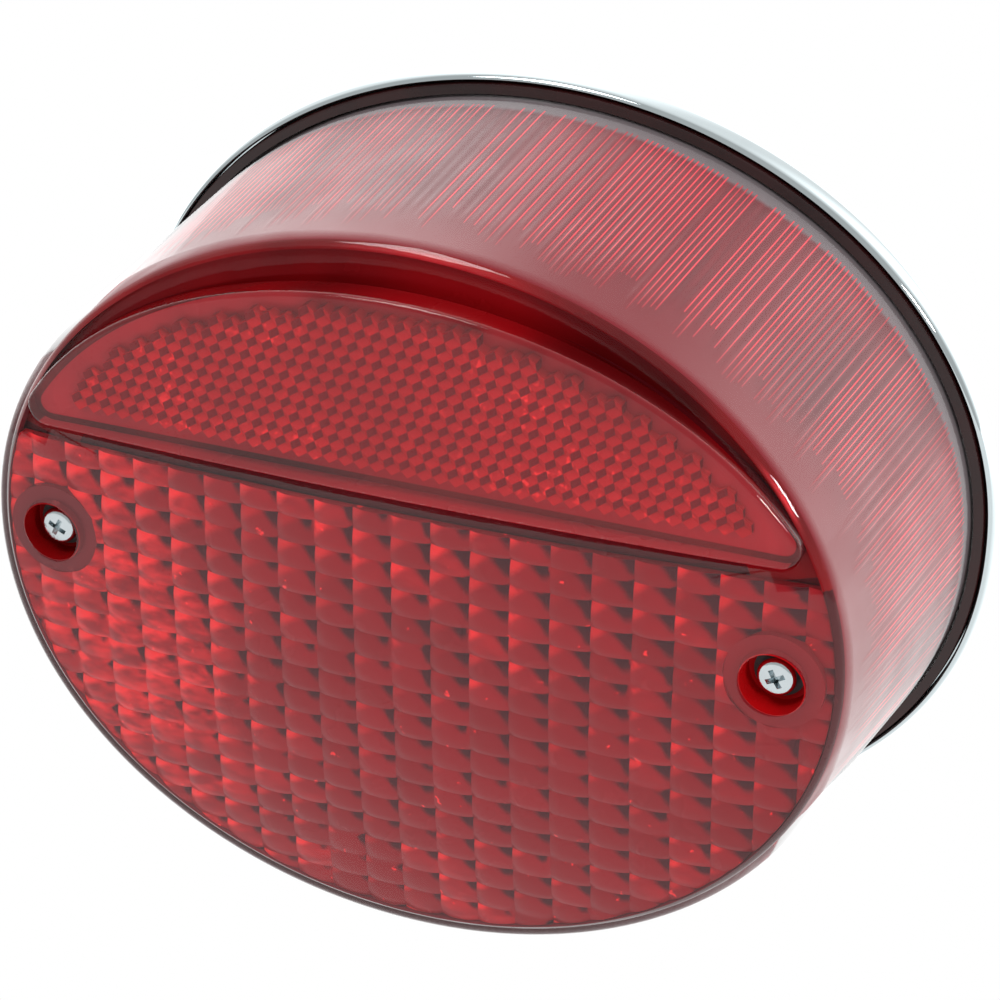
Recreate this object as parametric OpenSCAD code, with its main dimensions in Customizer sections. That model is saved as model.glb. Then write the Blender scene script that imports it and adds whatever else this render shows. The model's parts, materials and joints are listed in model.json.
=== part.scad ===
// Oval motorcycle tail light: chromed base pan, deep red lens held by two long
// screws, a D-shaped reflex reflector, two dual-filament bayonet bulbs and a
// licence plate bulb over a clear window.
//
// Frame: millimetres, +Z up, the lens faces -Y. The origin is the centre of the
// stud circle on the rear face of the mounting pad.

/* [Base] */
// Distance from the rear mounting face to the lens seat
base_depth = 31; // [28:0.5:40]
// Sheet thickness of the chromed base pan
pan_t = 1.2; // [1:0.1:1.6]
// How far the chrome rim stands outside the lens wall
rim_over = 3.8; // [3.4:0.1:5]
// Thickness of the rubber mounting pad
pad_t = 3; // [2:0.5:5]

/* [Lens] */
// Half width of the lens face
face_half_w = 80; // [74:1:84]
// Height of the lens face above the screw line
face_top = 64.6; // [60:0.2:68]
// Depth of the lens face below the screw line
face_bottom = 66.4; // [62:0.2:70]
// Half width of the lens at its seat
seat_half_w = 83.2; // [82:0.2:88]
// Half height of the lens at its seat
seat_half_h = 71.1; // [68:0.2:74]
// How far the seat's centre sits below the screw line
seat_drop = 3.3; // [0:0.1:5]
// Depth of the lens from its seat to the middle of its face
lens_depth = 68.4; // [60:0.2:75]
// Thickness of the lens wall
lens_wall = 2.8; // [2.4:0.1:3.2]
// Radius of the edge between wall and face
edge_r = 3.8; // [2.5:0.1:5]

/* [Reflector] */
// Height of the reflector's straight edge above the screw line
chord_z = 20.5; // [16:0.5:26]
// Half width of the ellipse that the reflector's arc follows
arc_half_w = 79; // [76:0.5:79.5]
// Height of the top of the reflector's arc
arc_top = 57; // [54:0.5:59]
// Radius of the reflector's two corners
corner_r = 3.5; // [2:0.5:5]

/* [Screws] */
// Distance of each lens screw from the middle
screw_x = 67.5; // [65:0.5:68]
// Radius of the pocket around each screw head
pocket_r = 5.6; // [5.2:0.1:6]
// Depth of the screw head's top below the face
head_below = 2.1; // [1:0.1:3]
// Nominal length of the lens screws
screw_length = 60; // [50:1:62]

/* [Bulbs] */
// Distance of each bulb from the middle
bulb_x = 29; // [26:0.5:34]
// Radius of the bulb's glass
bulb_r = 12.5; // [9:0.5:13]
// Travel of the sprung contact disc
disc_travel = 2.5; // [1.5:0.1:3]
// Twist that frees the bayonet bulb, in degrees
bulb_twist = 20; // [12:1:30]

/* [Mounting] */
// Diameter of the circle through the three studs
stud_circle = 64; // [60:1:68]
// Thread radius of the studs
stud_r = 3; // [2.5:0.5:4]
// Length of the studs behind the mounting face
stud_out = 18; // [12:1:25]

/* [Hidden] */

$fn = 48;
// Points round each oval
oval_n = 72;
// Lens seat plane
seat_y = -base_depth;
// Slope and crown of the lens face
face_slope = 0.06;
crown_x = 4.1;
crown_z = 4.3;
// Plane of the reflector's pocket floor, and of its face
pocket_y = seat_y - lens_depth + 8.6;
reflector_y = seat_y - lens_depth + 2.6;
reflector_crown = 1.9;
backing_t = 1.2;
// Screw: M4 pan head
screw_r = 2;
head_r = 3.4;
head_h = 2.6;
seal_r = 4.4;
seal_t = 0.8;
thread_gap = 0.04;
screw_face_y = seat_y - lens_depth + crown_x * pow(screw_x / face_half_w, 2);
head_top_y = screw_face_y + head_below;
head_seat_y = head_top_y + head_h;
pocket_floor_y = head_seat_y + seal_t;
column_r = 8.5;
column_end_y = seat_y - 16;
post_r = 4;
post_top_y = seat_y - 13;
// Gasket, ledge and plate levels behind the seat plane
flange_over = 2.07;
flange_t = 2;
ledge_y = seat_y + 4;
plate_t = 1;
plate_y = ledge_y - plate_t;
dish_y = seat_y + 9;
rivet_r = 1.5;
// Bulb socket (BAY15d) and bulb (S25) sizes
socket_in_r = 7.65;
socket_out_r = 8.25;
socket_front_y = seat_y - 8;
socket_rear_y = seat_y + 19;
cap_r = 7.5;
cap_front_y = seat_y - 10;
cap_rear_y = seat_y + 5;
pin_r = 1;
pin_y = seat_y - 2;
disc_t = 2;
glass_len = 38;
bulb_z = 0;
// Licence plate bulb
licence_z = -57;
licence_r = 5;
// Mounting studs
head_t = 4;
grommet_z = -34;
grommet_r = 6;
grommet_bore_r = 4;

// ---- outlines -----------------------------------------------------------

function spower(v, n) = sign(v) * pow(abs(v), 2 / n);

// Point of an oval whose halves above and below z0 have their own height
function oval(a, half_w, top, bottom, z0 = 0, n_low = 2) =
  sin(a) >= 0
    ? [half_w * cos(a), z0 + top * sin(a)]
    : [half_w * spower(cos(a), n_low), z0 + bottom * spower(sin(a), n_low)];

// The seat's oval, grown outwards by d
function seat_oval(a, d = 0) =
  oval(a, seat_half_w + d, seat_half_h + d, seat_half_h + d, -seat_drop, 2.15);

// The face's oval, grown outwards by d
function face_oval(a, d = 0) =
  oval(a, face_half_w + d, face_top + d, face_bottom + d);

// Plane of the lens face at a point, with its slope and crown
function face_y(x, z) =
  seat_y - lens_depth + face_slope * z
  + crown_x * pow(x / face_half_w, 2) + crown_z * pow(z / 60, 2);

// Face of the reflex reflector, flatter than the lens face
function reflector_face_y(x) = reflector_y + reflector_crown * pow(x / 66, 2);

function angles(n = oval_n) = [for (i = [0 : n - 1]) 360 * i / n];

// One ring at an even level, following the seat's oval
function seat_ring(d, y) = [for (a = angles()) let (p = seat_oval(a, d)) [p[0], y, p[1]]];

// One ring of the lens face, s of the way out to where the rounded edge starts
function face_ring(s, d = 0, back = 0) = [
  for (a = angles())
    let (p = s * face_oval(a, d - edge_r))
    [p[0], face_y(p[0], p[1]) + back, p[1]]
];

// One ring of the rounded edge: bend 0 is the wall, bend 90 is the face
function edge_ring(bend, d = 0, back = 0) = [
  for (a = angles())
    let (
      p = face_oval(a, d - edge_r * (1 - cos(bend))),
      q = face_oval(a, -edge_r)
    )
    [p[0], face_y(q[0], q[1]) + edge_r * (1 - sin(bend)) + back, p[1]]
];

function reversed(list) = [for (i = [len(list) - 1 : -1 : 0]) list[i]];

// Closed solid through rings of equal length, towards +Y or -Y, with a flat
// end or a tip
module loft(rings, tip = undef) {
  n = len(rings[0]);
  m = len(rings);
  ring_points = [for (r = rings) for (p = r) p];
  top = (m - 1) * n;
  sides = [
    for (j = [0 : m - 2]) for (i = [0 : n - 1])
      let (a = j * n + i, b = j * n + (i + 1) % n)
      each [[a, b, b + n], [a, b + n, a + n]]
  ];
  first = [[for (i = [n - 1 : -1 : 0]) i]];
  last = is_undef(tip)
    ? [[for (i = [0 : n - 1]) top + i]]
    : [for (i = [0 : n - 1]) [top + i, top + (i + 1) % n, m * n]];
  points = is_undef(tip) ? ring_points : concat(ring_points, [tip]);
  faces = concat(sides, first, last);
  forward = rings[m - 1][0][1] < rings[0][0][1];
  polyhedron(points, forward ? [for (f = faces) reversed(f)] : faces, convexity = 8);
}

// Cylinder along Y from y0 to y1
module rod(r, y0, y1, x = 0, z = 0, n = $fn) {
  translate([x, y0, z]) rotate([-90, 0, 0]) cylinder(r = r, h = y1 - y0, $fn = n);
}

// Flat oval plate that follows the seat's oval
module oval_plate(d, y0, y1) {
  outline = [for (a = angles()) seat_oval(a, d)];
  translate([0, y1, 0]) rotate([90, 0, 0]) linear_extrude(y1 - y0) polygon(outline);
}

// Places its children on both sides, at x and -x
module both_sides(x) {
  for (s = [-1, 1]) translate([s * x, 0, 0]) children();
}

// Places its children at the three studs
module at_studs() {
  for (a = [90, 210, 330])
    translate([stud_circle / 2 * cos(a), 0, stud_circle / 2 * sin(a)]) children();
}

// ---- base -----------------------------------------------------------------

module base_pan() {
  rear_y = -pad_t;
  brim_y = ledge_y + 1.5;
  outside = [
    [2.4, seat_y + 0.9], [2.9, seat_y + 0.4], [3.5, seat_y + 1.2],
    [rim_over, seat_y + 2.7], [rim_over, seat_y + 4.4], [3.2, seat_y + 5.4],
    [1.8, brim_y + 0.2], [-6.4, brim_y], [-7.6, brim_y + 1.4],
    [-8.4, brim_y + 6], [-9.4, rear_y - 6], [-10.8, rear_y - 2.4], [-14, rear_y]
  ];
  inside = [
    [2.4, seat_y + 0.9], [2.4, ledge_y], [-8.2, ledge_y],
    [-9.6, brim_y + 6], [-10.6, rear_y - 6], [-12, rear_y - 3], [-14.4, rear_y - pan_t]
  ];
  color("gainsboro") difference() {
    loft([for (p = outside) seat_ring(p[0], p[1])]);
    loft(concat(
      [seat_ring(2.4, seat_y - 2)],
      [for (p = inside) seat_ring(p[0], p[1])]
    ));
    at_studs() rod(stud_r + 0.3, rear_y - 5, rear_y + 5);
    rod(grommet_r, rear_y - 5, rear_y + 5, 0, grommet_z);
    for (s = [-1, 1]) rod(2.5, rear_y - 5, rear_y + 5, s * 40, -30);
  }
}

module mounting_pad() {
  color("#202022") difference() {
    oval_plate(-17, -pad_t, 0);
    at_studs() rod(stud_r + 0.3, -pad_t - 1, 1);
    rod(grommet_r + 2.6, -pad_t - 1, 1, 0, grommet_z);
    for (s = [-1, 1]) rod(3.5, -pad_t - 1, 1, s * 40, -30);
  }
}

module mounting_studs() {
  inner_y = -pad_t - pan_t;
  color("silver") at_studs() {
    rod(5, inner_y - head_t, inner_y, 0, 0, 6);
    rod(stud_r + 0.2, inner_y - 1, 0);
    rod(stud_r, -0.5, stud_out - 1);
    translate([0, stud_out - 1, 0]) rotate([-90, 0, 0]) cylinder(r1 = stud_r, r2 = stud_r - 0.8, h = 1);
  }
}

module wire_grommet() {
  rear_y = -pad_t;
  color("#1a1a1c") difference() {
    union() {
      rod(grommet_r - 0.05, rear_y - pan_t - 0.4, rear_y + 0.4, 0, grommet_z);
      rod(grommet_r + 2, rear_y - pan_t - 2, rear_y - pan_t - 0.02, 0, grommet_z);
      rod(grommet_r + 2, rear_y + 0.02, rear_y + 2, 0, grommet_z);
    }
    rod(grommet_bore_r, rear_y - 8, rear_y + 8, 0, grommet_z);
  }
}

module reflector_plate() {
  rear = [[-2.4, plate_y], [-2.4, ledge_y - 0.02], [-22.6, ledge_y - 0.02], [-29.6, dish_y]];
  color("#d8d8da") difference() {
    loft([for (p = rear) seat_ring(p[0], p[1])]);
    loft([
      seat_ring(-22, plate_y - 2), seat_ring(-22, plate_y),
      seat_ring(-29, dish_y - plate_t)
    ]);
    both_sides(bulb_x) rod(socket_out_r + 0.02, dish_y - 5, dish_y + 5, 0, bulb_z);
    both_sides(screw_x) rod(2.62, plate_y - 2, ledge_y + 2);
    rod(7.02, plate_y - 2, ledge_y + 2, 0, licence_z);
    for (p = rivet_places()) rod(rivet_r, plate_y - 2, ledge_y + 2, p[0], p[1]);
  }
}

// Rivets on the ledge, clear of the posts and of the licence bulb
function rivet_places() = [for (a = [35, 90, 145, 215, 250, 290, 325]) seat_oval(a, -5.4)];

module plate_rivets() {
  color("silver") for (p = rivet_places()) {
    rod(rivet_r, plate_y - 0.5, ledge_y - 0.02, p[0], p[1]);
    rod(2.4, plate_y - 0.9, plate_y, p[0], p[1]);
  }
}

module screw_post(side) {
  color("silver") translate([side * screw_x, 0, 0]) difference() {
    union() {
      rod(post_r, post_top_y, plate_y);
      rod(2.6, plate_y - 0.5, ledge_y + 0.2);
      rod(3.6, ledge_y, ledge_y + 1);
    }
    rod(screw_r + thread_gap, post_top_y - 1, ledge_y + 2);
  }
}

module lens_gasket() {
  color("#151517") difference() {
    oval_plate(2.2, seat_y + flange_t, ledge_y);
    oval_plate(-2.1, seat_y + flange_t - 1, ledge_y + 1);
  }
}

// ---- lens -----------------------------------------------------------------

// Outside of the lens: flange, drafted wall, rounded edge and crowned face
module lens_outside() {
  loft(concat(
    [seat_ring(flange_over, seat_y + flange_t), seat_ring(flange_over, seat_y), seat_ring(0, seat_y)],
    [for (bend = [0, 30, 60, 90]) edge_ring(bend)],
    [for (s = [0.8, 0.55, 0.28]) face_ring(s)]
  ), [0, face_y(0, 0), 0]);
}

// Hollow of the lens, one wall inside its outside
module lens_hollow() {
  in = -lens_wall;
  back = lens_wall + 0.4;
  loft(concat(
    [seat_ring(in, seat_y + flange_t + 1), seat_ring(in, seat_y), edge_ring(0, in, back)],
    [for (s = [1, 0.75, 0.4]) face_ring(s, in, back)]
  ), [0, face_y(0, 0) + back, 0]);
}

// Outline of the reflector: an elliptical arc over a straight lower edge
module reflector_outline(d = 0) {
  offset(r = corner_r + d) offset(delta = -corner_r) difference() {
    polygon([for (a = angles(120)) [arc_half_w * cos(a), arc_top * sin(a)]]);
    translate([-100, chord_z - 200]) square([200, 200]);
  }
}

// The reflector's outline drawn out along Y
module reflector_block(d, y0, y1) {
  translate([0, y1, 0]) rotate([90, 0, 0]) linear_extrude(y1 - y0) reflector_outline(d);
}

// Block that the licence plate window fills in the lens wall
module window_block(gap = 0) {
  translate([-24 + gap, seat_y - 40 + gap, -90]) cube([48 - 2 * gap, 28 - 2 * gap, 40]);
}

module lens_shell() {
  difference() {
    lens_outside();
    lens_hollow();
  }
}

module lens_body() {
  color("#a00c12") difference() {
    union() {
      lens_shell();
      intersection() {
        lens_outside();
        union() {
          both_sides(screw_x) rod(column_r, seat_y - lens_depth, column_end_y);
          reflector_block(2.4, seat_y - lens_depth - 5, pocket_y + 2.4);
        }
      }
    }
    reflector_block(0.1, seat_y - lens_depth - 5, pocket_y);
    both_sides(screw_x) {
      rod(pocket_r, seat_y - lens_depth - 2, pocket_floor_y);
      rod(screw_r + 0.3, pocket_floor_y - 1, column_end_y + 1);
      rod(post_r + 1, post_top_y - 5, column_end_y + 1);
    }
    window_block();
  }
}

module licence_window() {
  color("#e8f0f2") intersection() {
    lens_shell();
    window_block(0.05);
  }
}

module reflex_reflector() {
  color("#b01018") intersection() {
    reflector_block(0, reflector_y - 3, pocket_y - backing_t);
    translate([0, 0, chord_z - 1]) linear_extrude(60) polygon(concat(
      [for (x = [-80 : 5 : 80]) [x, reflector_face_y(x)]],
      [[80, pocket_y], [-80, pocket_y]]
    ));
  }
}

module reflex_backing() {
  color("#c8c8cc") reflector_block(-1, pocket_y - backing_t, pocket_y);
}

module screw_seals() {
  color("#1a1a1c") both_sides(screw_x) difference() {
    rod(seal_r, head_seat_y, pocket_floor_y);
    rod(screw_r + 0.3, head_seat_y - 1, pocket_floor_y + 1);
  }
}

// M4 pan head screw with a cross recess
module lens_screw(side) {
  color("#e4e4e6") translate([side * screw_x, 0, 0]) difference() {
    union() {
      translate([0, head_seat_y, 0]) rotate([90, 0, 0]) rotate_extrude() polygon([
        [0, 0], [head_r, 0], [head_r, 1.5], [3.2, 2], [2.7, 2.4], [2, head_h], [0, head_h]
      ]);
      rod(screw_r, head_seat_y - 0.5, head_seat_y + screw_length);
    }
    for (a = [0, 90]) translate([0, head_top_y, 0]) rotate([0, a, 0])
      translate([-1.9, -1, -0.5]) cube([3.8, 2.8, 1]);
  }
}

// ---- bulb sockets ---------------------------------------------------------

// Bayonet shell with two L-shaped slots open to its mouth
module socket_shell(side) {
  slot_w = 2 * pin_r + 0.5;
  slot_y0 = pin_y - slot_w / 2;
  slot_y1 = pin_y + disc_travel + slot_w / 2;
  // Half angle of the slot's ends, a little wider than the pin needs
  half_a = asin(slot_w / 2 / socket_in_r) + 2;
  color("#cfcfd2") translate([side * bulb_x, 0, bulb_z]) difference() {
    union() {
      rod(socket_out_r, socket_front_y, socket_rear_y);
      rod(socket_out_r + 1.6, dish_y - 1.9, dish_y - plate_t);
    }
    rod(socket_in_r, socket_front_y - 1, socket_rear_y - 1);
    rod(4, socket_rear_y - 2, socket_rear_y + 1);
    for (turn = [0, 180]) rotate([0, turn, 0]) {
      translate([0, slot_y1, 0]) rotate([90, 0, 0]) rotate([0, 0, -half_a])
        rotate_extrude(angle = bulb_twist + 2 * half_a)
          translate([socket_in_r - 0.5, 0]) square([3, slot_y1 - slot_y0]);
      rotate([0, -bulb_twist, 0])
        translate([0, socket_front_y - 1, -slot_w / 2])
          cube([socket_out_r + 1, slot_y1 - socket_front_y + 0.5, slot_w]);
    }
  }
}

module contact_disc(side) {
  color("#8a5a2c") translate([side * bulb_x, 0, bulb_z]) difference() {
    rod(socket_in_r - 0.15, cap_rear_y + 1.2, cap_rear_y + 1.2 + disc_t);
    for (s = [-1, 1]) rod(1.25, cap_rear_y, cap_rear_y + 5, s * 3.2);
  }
}

module contact_studs(side) {
  color("#c8a050") translate([side * bulb_x, 0, bulb_z]) for (s = [-1, 1]) {
    rod(1.25, cap_rear_y + 0.9, cap_rear_y + 1.4 + disc_t, s * 3.2);
    rod(1.8, cap_rear_y + 1.2 + disc_t, cap_rear_y + 1.8 + disc_t, s * 3.2);
  }
}

// Rings of a wire that winds about the Y axis
function coil_ring(i, per_turn, pitch, coil_r, wire_r) =
  let (a = 360 * i / per_turn, y = pitch * i / per_turn)
  [for (k = [0 : 5])
    let (r = coil_r + wire_r * cos(60 * k))
    [r * cos(a), y + wire_r * sin(60 * k), r * sin(a)]];

module contact_spring(side) {
  turns = 4;
  per_turn = 16;
  wire_r = 0.4;
  y0 = cap_rear_y + 1.2 + disc_t + wire_r + 0.05;
  y1 = socket_rear_y - 1 - wire_r - 0.05;
  color("silver") translate([side * bulb_x, y0, bulb_z]) loft([
    for (i = [0 : turns * per_turn]) coil_ring(i, per_turn, (y1 - y0) / turns, 6, wire_r)
  ]);
}

// Fibre cap in the rear of the shell, with two lead terminals
module socket_cap(side) {
  color("#7a4c24") translate([side * bulb_x, 0, bulb_z]) {
    rod(3.95, socket_rear_y - 1, socket_rear_y + 1.5);
    for (s = [-1, 1]) translate([s * 2 - 0.4, socket_rear_y + 1, -1.5]) cube([0.8, 3.5, 3]);
  }
}

// Brass bulb cap with two bayonet pins and two solder contacts
module bulb_cap(side) {
  color("#c9a24a") translate([side * bulb_x, 0, bulb_z]) {
    rod(cap_r, cap_front_y, cap_rear_y);
    for (s = [-1, 1]) {
      rod(1.6, cap_rear_y - 0.5, cap_rear_y + 0.85, s * 3.2);
      translate([0, pin_y, 0]) rotate([0, s * 90, 0]) cylinder(r = pin_r, h = 8.9, $fn = 24);
    }
  }
}

module bulb_glass(side) {
  neck_r = 6.4;
  tip_y = cap_front_y - glass_len + 10;
  ball_y = tip_y + bulb_r;
  color("#f0f4f6") translate([side * bulb_x, 0, bulb_z]) difference() {
    union() {
      translate([0, ball_y, 0]) sphere(r = bulb_r);
      rod(neck_r, ball_y, cap_front_y);
    }
    translate([0, ball_y, 0]) sphere(r = bulb_r - 0.8);
    rod(neck_r - 0.8, ball_y, cap_front_y - 2);
  }
}

// Two filaments on their lead-in wires
module bulb_filaments(side) {
  stem_y = cap_front_y - 2;
  color("#b8b8bc") translate([side * bulb_x, 0, bulb_z]) {
    rod(2.4, stem_y - 5, stem_y);
    for (f = [[-15, 2.5], [-11.5, -2.5]]) {
      for (s = [-1, 1]) rod(0.3, stem_y + f[0], stem_y - 4, s * 1.9, f[1] * 0.6, 16);
      translate([-2.4, stem_y + f[0], f[1] * 0.6]) rotate([0, 90, 0]) cylinder(r = 0.5, h = 4.8, $fn = 16);
    }
  }
}

// ---- licence plate bulb -----------------------------------------------------

module licence_socket() {
  color("#2a2a2c") translate([0, 0, licence_z]) difference() {
    union() {
      rod(7, plate_y - 9, ledge_y + 1.5);
      rod(8.4, plate_y - 1.6, plate_y);
      rod(6.4, ledge_y + 1, ledge_y + 8);
    }
    rod(licence_r + 0.35, plate_y - 10, ledge_y + 2);
  }
}

module licence_contacts() {
  color("#c8a050") translate([0, 0, licence_z]) for (s = [-1, 1])
    translate([s * 2.2 - 0.4, ledge_y + 8, -2]) cube([0.8, 4.5, 4]);
}

// Capless wedge bulb
module licence_bulb() {
  tip_y = plate_y - 20;
  color("#f0f4f6") translate([0, 0, licence_z]) difference() {
    union() {
      translate([0, tip_y + licence_r, 0]) sphere(r = licence_r);
      rod(licence_r, tip_y + licence_r, ledge_y - 5);
      translate([-4.4, ledge_y - 6, -1.1]) cube([8.8, 7, 2.2]);
    }
    translate([0, tip_y + licence_r, 0]) sphere(r = licence_r - 0.7);
    rod(licence_r - 0.7, tip_y + licence_r, ledge_y - 7);
  }
}

module licence_filament() {
  wire_y = ledge_y - 7;
  color("#b8b8bc") translate([0, 0, licence_z]) {
    for (s = [-1, 1]) rod(0.3, wire_y - 7, wire_y, s * 1.8, 0, 16);
    translate([-2.2, wire_y - 7, 0]) rotate([0, 90, 0]) cylinder(r = 0.45, h = 4.4, $fn = 16);
  }
}

// ---- assembly ---------------------------------------------------------------

base_pan();
mounting_pad();
mounting_studs();
wire_grommet();
reflector_plate();
plate_rivets();
screw_post(-1);  // screw_post_left
screw_post(1);  // screw_post_right
lens_gasket();
lens_body();
licence_window();
reflex_reflector();
reflex_backing();
screw_seals();
lens_screw(-1);  // lens_screw_left
lens_screw(1);  // lens_screw_right
socket_shell(-1);  // socket_shell_left
socket_shell(1);  // socket_shell_right
contact_disc(-1);  // contact_disc_left
contact_disc(1);  // contact_disc_right
contact_studs(-1);  // contact_studs_left
contact_studs(1);  // contact_studs_right
contact_spring(-1);  // contact_spring_left
contact_spring(1);  // contact_spring_right
socket_cap(-1);  // socket_cap_left
socket_cap(1);  // socket_cap_right
bulb_cap(-1);  // bulb_cap_left
bulb_cap(1);  // bulb_cap_right
bulb_glass(-1);  // bulb_glass_left
bulb_glass(1);  // bulb_glass_right
bulb_filaments(-1);  // bulb_filaments_left
bulb_filaments(1);  // bulb_filaments_right
licence_socket();
licence_contacts();
licence_bulb();
licence_filament();
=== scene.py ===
"""Looks of an oval motorcycle tail light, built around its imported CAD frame.

Sizes in the classes are in millimetres, in the frame's own axes: +Z up, the lens faces -Y and
the origin is the centre of the mounting studs' circle. Meshes are made in metres.
"""

import json
import logging
import math
from dataclasses import dataclass
from enum import Enum, IntEnum
from typing import Callable, Optional, Sequence

import bpy
import bmesh
import numpy as np
from mathutils import Matrix, Vector


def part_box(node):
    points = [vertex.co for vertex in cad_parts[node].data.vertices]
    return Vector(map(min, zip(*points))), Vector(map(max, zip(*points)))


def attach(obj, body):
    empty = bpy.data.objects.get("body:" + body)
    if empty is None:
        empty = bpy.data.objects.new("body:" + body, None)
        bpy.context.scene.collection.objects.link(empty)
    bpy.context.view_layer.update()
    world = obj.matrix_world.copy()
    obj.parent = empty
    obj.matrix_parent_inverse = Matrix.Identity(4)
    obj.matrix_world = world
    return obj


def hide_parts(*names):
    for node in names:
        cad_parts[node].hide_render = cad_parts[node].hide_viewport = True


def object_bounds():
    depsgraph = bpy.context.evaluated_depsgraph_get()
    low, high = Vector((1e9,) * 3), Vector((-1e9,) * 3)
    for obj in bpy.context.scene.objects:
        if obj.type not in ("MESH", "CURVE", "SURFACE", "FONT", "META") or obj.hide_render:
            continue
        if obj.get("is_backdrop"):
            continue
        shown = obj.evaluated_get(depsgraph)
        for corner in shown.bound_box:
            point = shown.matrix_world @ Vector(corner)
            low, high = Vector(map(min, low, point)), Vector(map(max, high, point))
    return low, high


MM = 0.001
LOG = logging.getLogger("tail_light")
Triple = tuple[float, float, float]
Colour = Triple
SIDES = {"left": -1, "right": 1}
SMOOTH = 32.0  # degrees; sharper edges stay sharp


# ---------------------------------------------------------------------------
# Shader helpers
# ---------------------------------------------------------------------------


class Tree:
    """A node tree with short calls for adding and linking nodes."""

    def __init__(self, tree: bpy.types.NodeTree) -> None:
        """Wraps a node tree.

        Args:
            tree: The material's, world's or group's node tree.
        """
        self.tree = tree

    def add(self, kind: str, settings: Optional[dict] = None, **inputs: object) -> bpy.types.Node:
        """Adds a node.

        Args:
            kind: Blender's node type without its ShaderNode prefix.
            settings: Properties of the node itself.
            inputs: Socket values or source sockets, by socket name with _ for a space.

        Returns:
            The new node.
        """
        node = self.tree.nodes.new(kind if kind.startswith("NodeGroup") else "ShaderNode" + kind)
        for name, value in (settings or {}).items():
            setattr(node, name, value)
        for name, value in inputs.items():
            self.feed(node.inputs[name.replace("_", " ")], value)
        return node

    def feed(self, socket: bpy.types.NodeSocket, value: object) -> None:
        """Links a socket to another, or sets its value.

        Args:
            socket: The input socket.
            value: An output socket, a number or a tuple.
        """
        if isinstance(value, bpy.types.NodeSocket):
            self.tree.links.new(value, socket)
        else:
            socket.default_value = value

    def math(self, operation: str, a: object, b: object = 0.0, clamp: bool = False) -> bpy.types.NodeSocket:
        """Adds a Math node and returns its output.

        Args:
            operation: Blender's name of the operation.
            a: First value or socket.
            b: Second value or socket.
            clamp: Keeps the result from 0 to 1.

        Returns:
            The output socket.
        """
        node = self.add("Math", {"operation": operation, "use_clamp": clamp})
        self.feed(node.inputs[0], a)
        self.feed(node.inputs[1], b)
        return node.outputs[0]

    def ramp(
        self, value: object, low: float, high: float, to_low: float = 0.0, to_high: float = 1.0
    ) -> bpy.types.NodeSocket:
        """Maps a value from low..high to to_low..to_high, smoothly and clamped.

        Args:
            value: The value or socket to map.
            low: Where the ramp starts.
            high: Where it ends; it may be below low.
            to_low: Result at low.
            to_high: Result at high.

        Returns:
            The output socket.
        """
        node = self.add("MapRange", {"interpolation_type": "SMOOTHSTEP"})
        for socket, v in zip(node.inputs, (value, low, high, to_low, to_high)):
            self.feed(socket, v)
        return node.outputs[0]

    def blend(self, factor: object, a: object, b: object) -> bpy.types.NodeSocket:
        """Mixes two colours and returns the colour.

        Args:
            factor: 0 gives a, 1 gives b.
            a: First colour or socket.
            b: Second colour or socket.

        Returns:
            The mixed colour's socket.
        """
        node = self.add("Mix", {"data_type": "RGBA"})
        for index, value in ((0, factor), (6, a), (7, b)):
            self.feed(node.inputs[index], rgba(value) if isinstance(value, tuple) else value)
        return node.outputs[2]

    def either(self, factor: object, a: bpy.types.Node, b: bpy.types.Node) -> bpy.types.Node:
        """Mixes the shaders of two nodes, the first where the factor is 0.

        Args:
            factor: 0 shows a, 1 shows b.
            a: Node of the first shader.
            b: Node of the second shader.

        Returns:
            The mixing node.
        """
        node = self.add("MixShader")
        for socket, value in zip(node.inputs, (factor, a.outputs[0], b.outputs[0])):
            self.feed(socket, value)
        return node

    def position(self) -> bpy.types.NodeSocket:
        """The point on the object, in its own coordinates."""
        return self.add("TexCoord").outputs["Object"]

    def stretched(self, x: float, y: float, z: float) -> bpy.types.NodeSocket:
        """The object's coordinates, scaled along each axis.

        Args:
            x: Scale along X.
            y: Scale along Y.
            z: Scale along Z.

        Returns:
            The output socket.
        """
        node = self.add("Mapping", Vector=self.position())
        node.inputs["Scale"].default_value = (x, y, z)
        return node.outputs[0]

    def noise(self, vector: bpy.types.NodeSocket, scale: object, detail: float = 2.0) -> bpy.types.NodeSocket:
        """Noise from 0 to 1 over a vector."""
        return self.add("TexNoise", Vector=vector, Scale=scale, Detail=detail).outputs[0]

    def leaning(self, direction: Triple) -> bpy.types.NodeSocket:
        """How far the surface leans towards a direction, from -1 to 1.

        Args:
            direction: The direction, of any length.

        Returns:
            The output socket.
        """
        node = self.add("VectorMath", {"operation": "DOT_PRODUCT"})
        self.feed(node.inputs[0], self.add("TexCoord").outputs["Normal"])
        self.feed(node.inputs[1], Vector(direction).normalized())
        return node.outputs["Value"]


def rgba(colour: Sequence[float]) -> tuple:
    """A colour with full alpha."""
    return (*colour[:3], 1.0)


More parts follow.
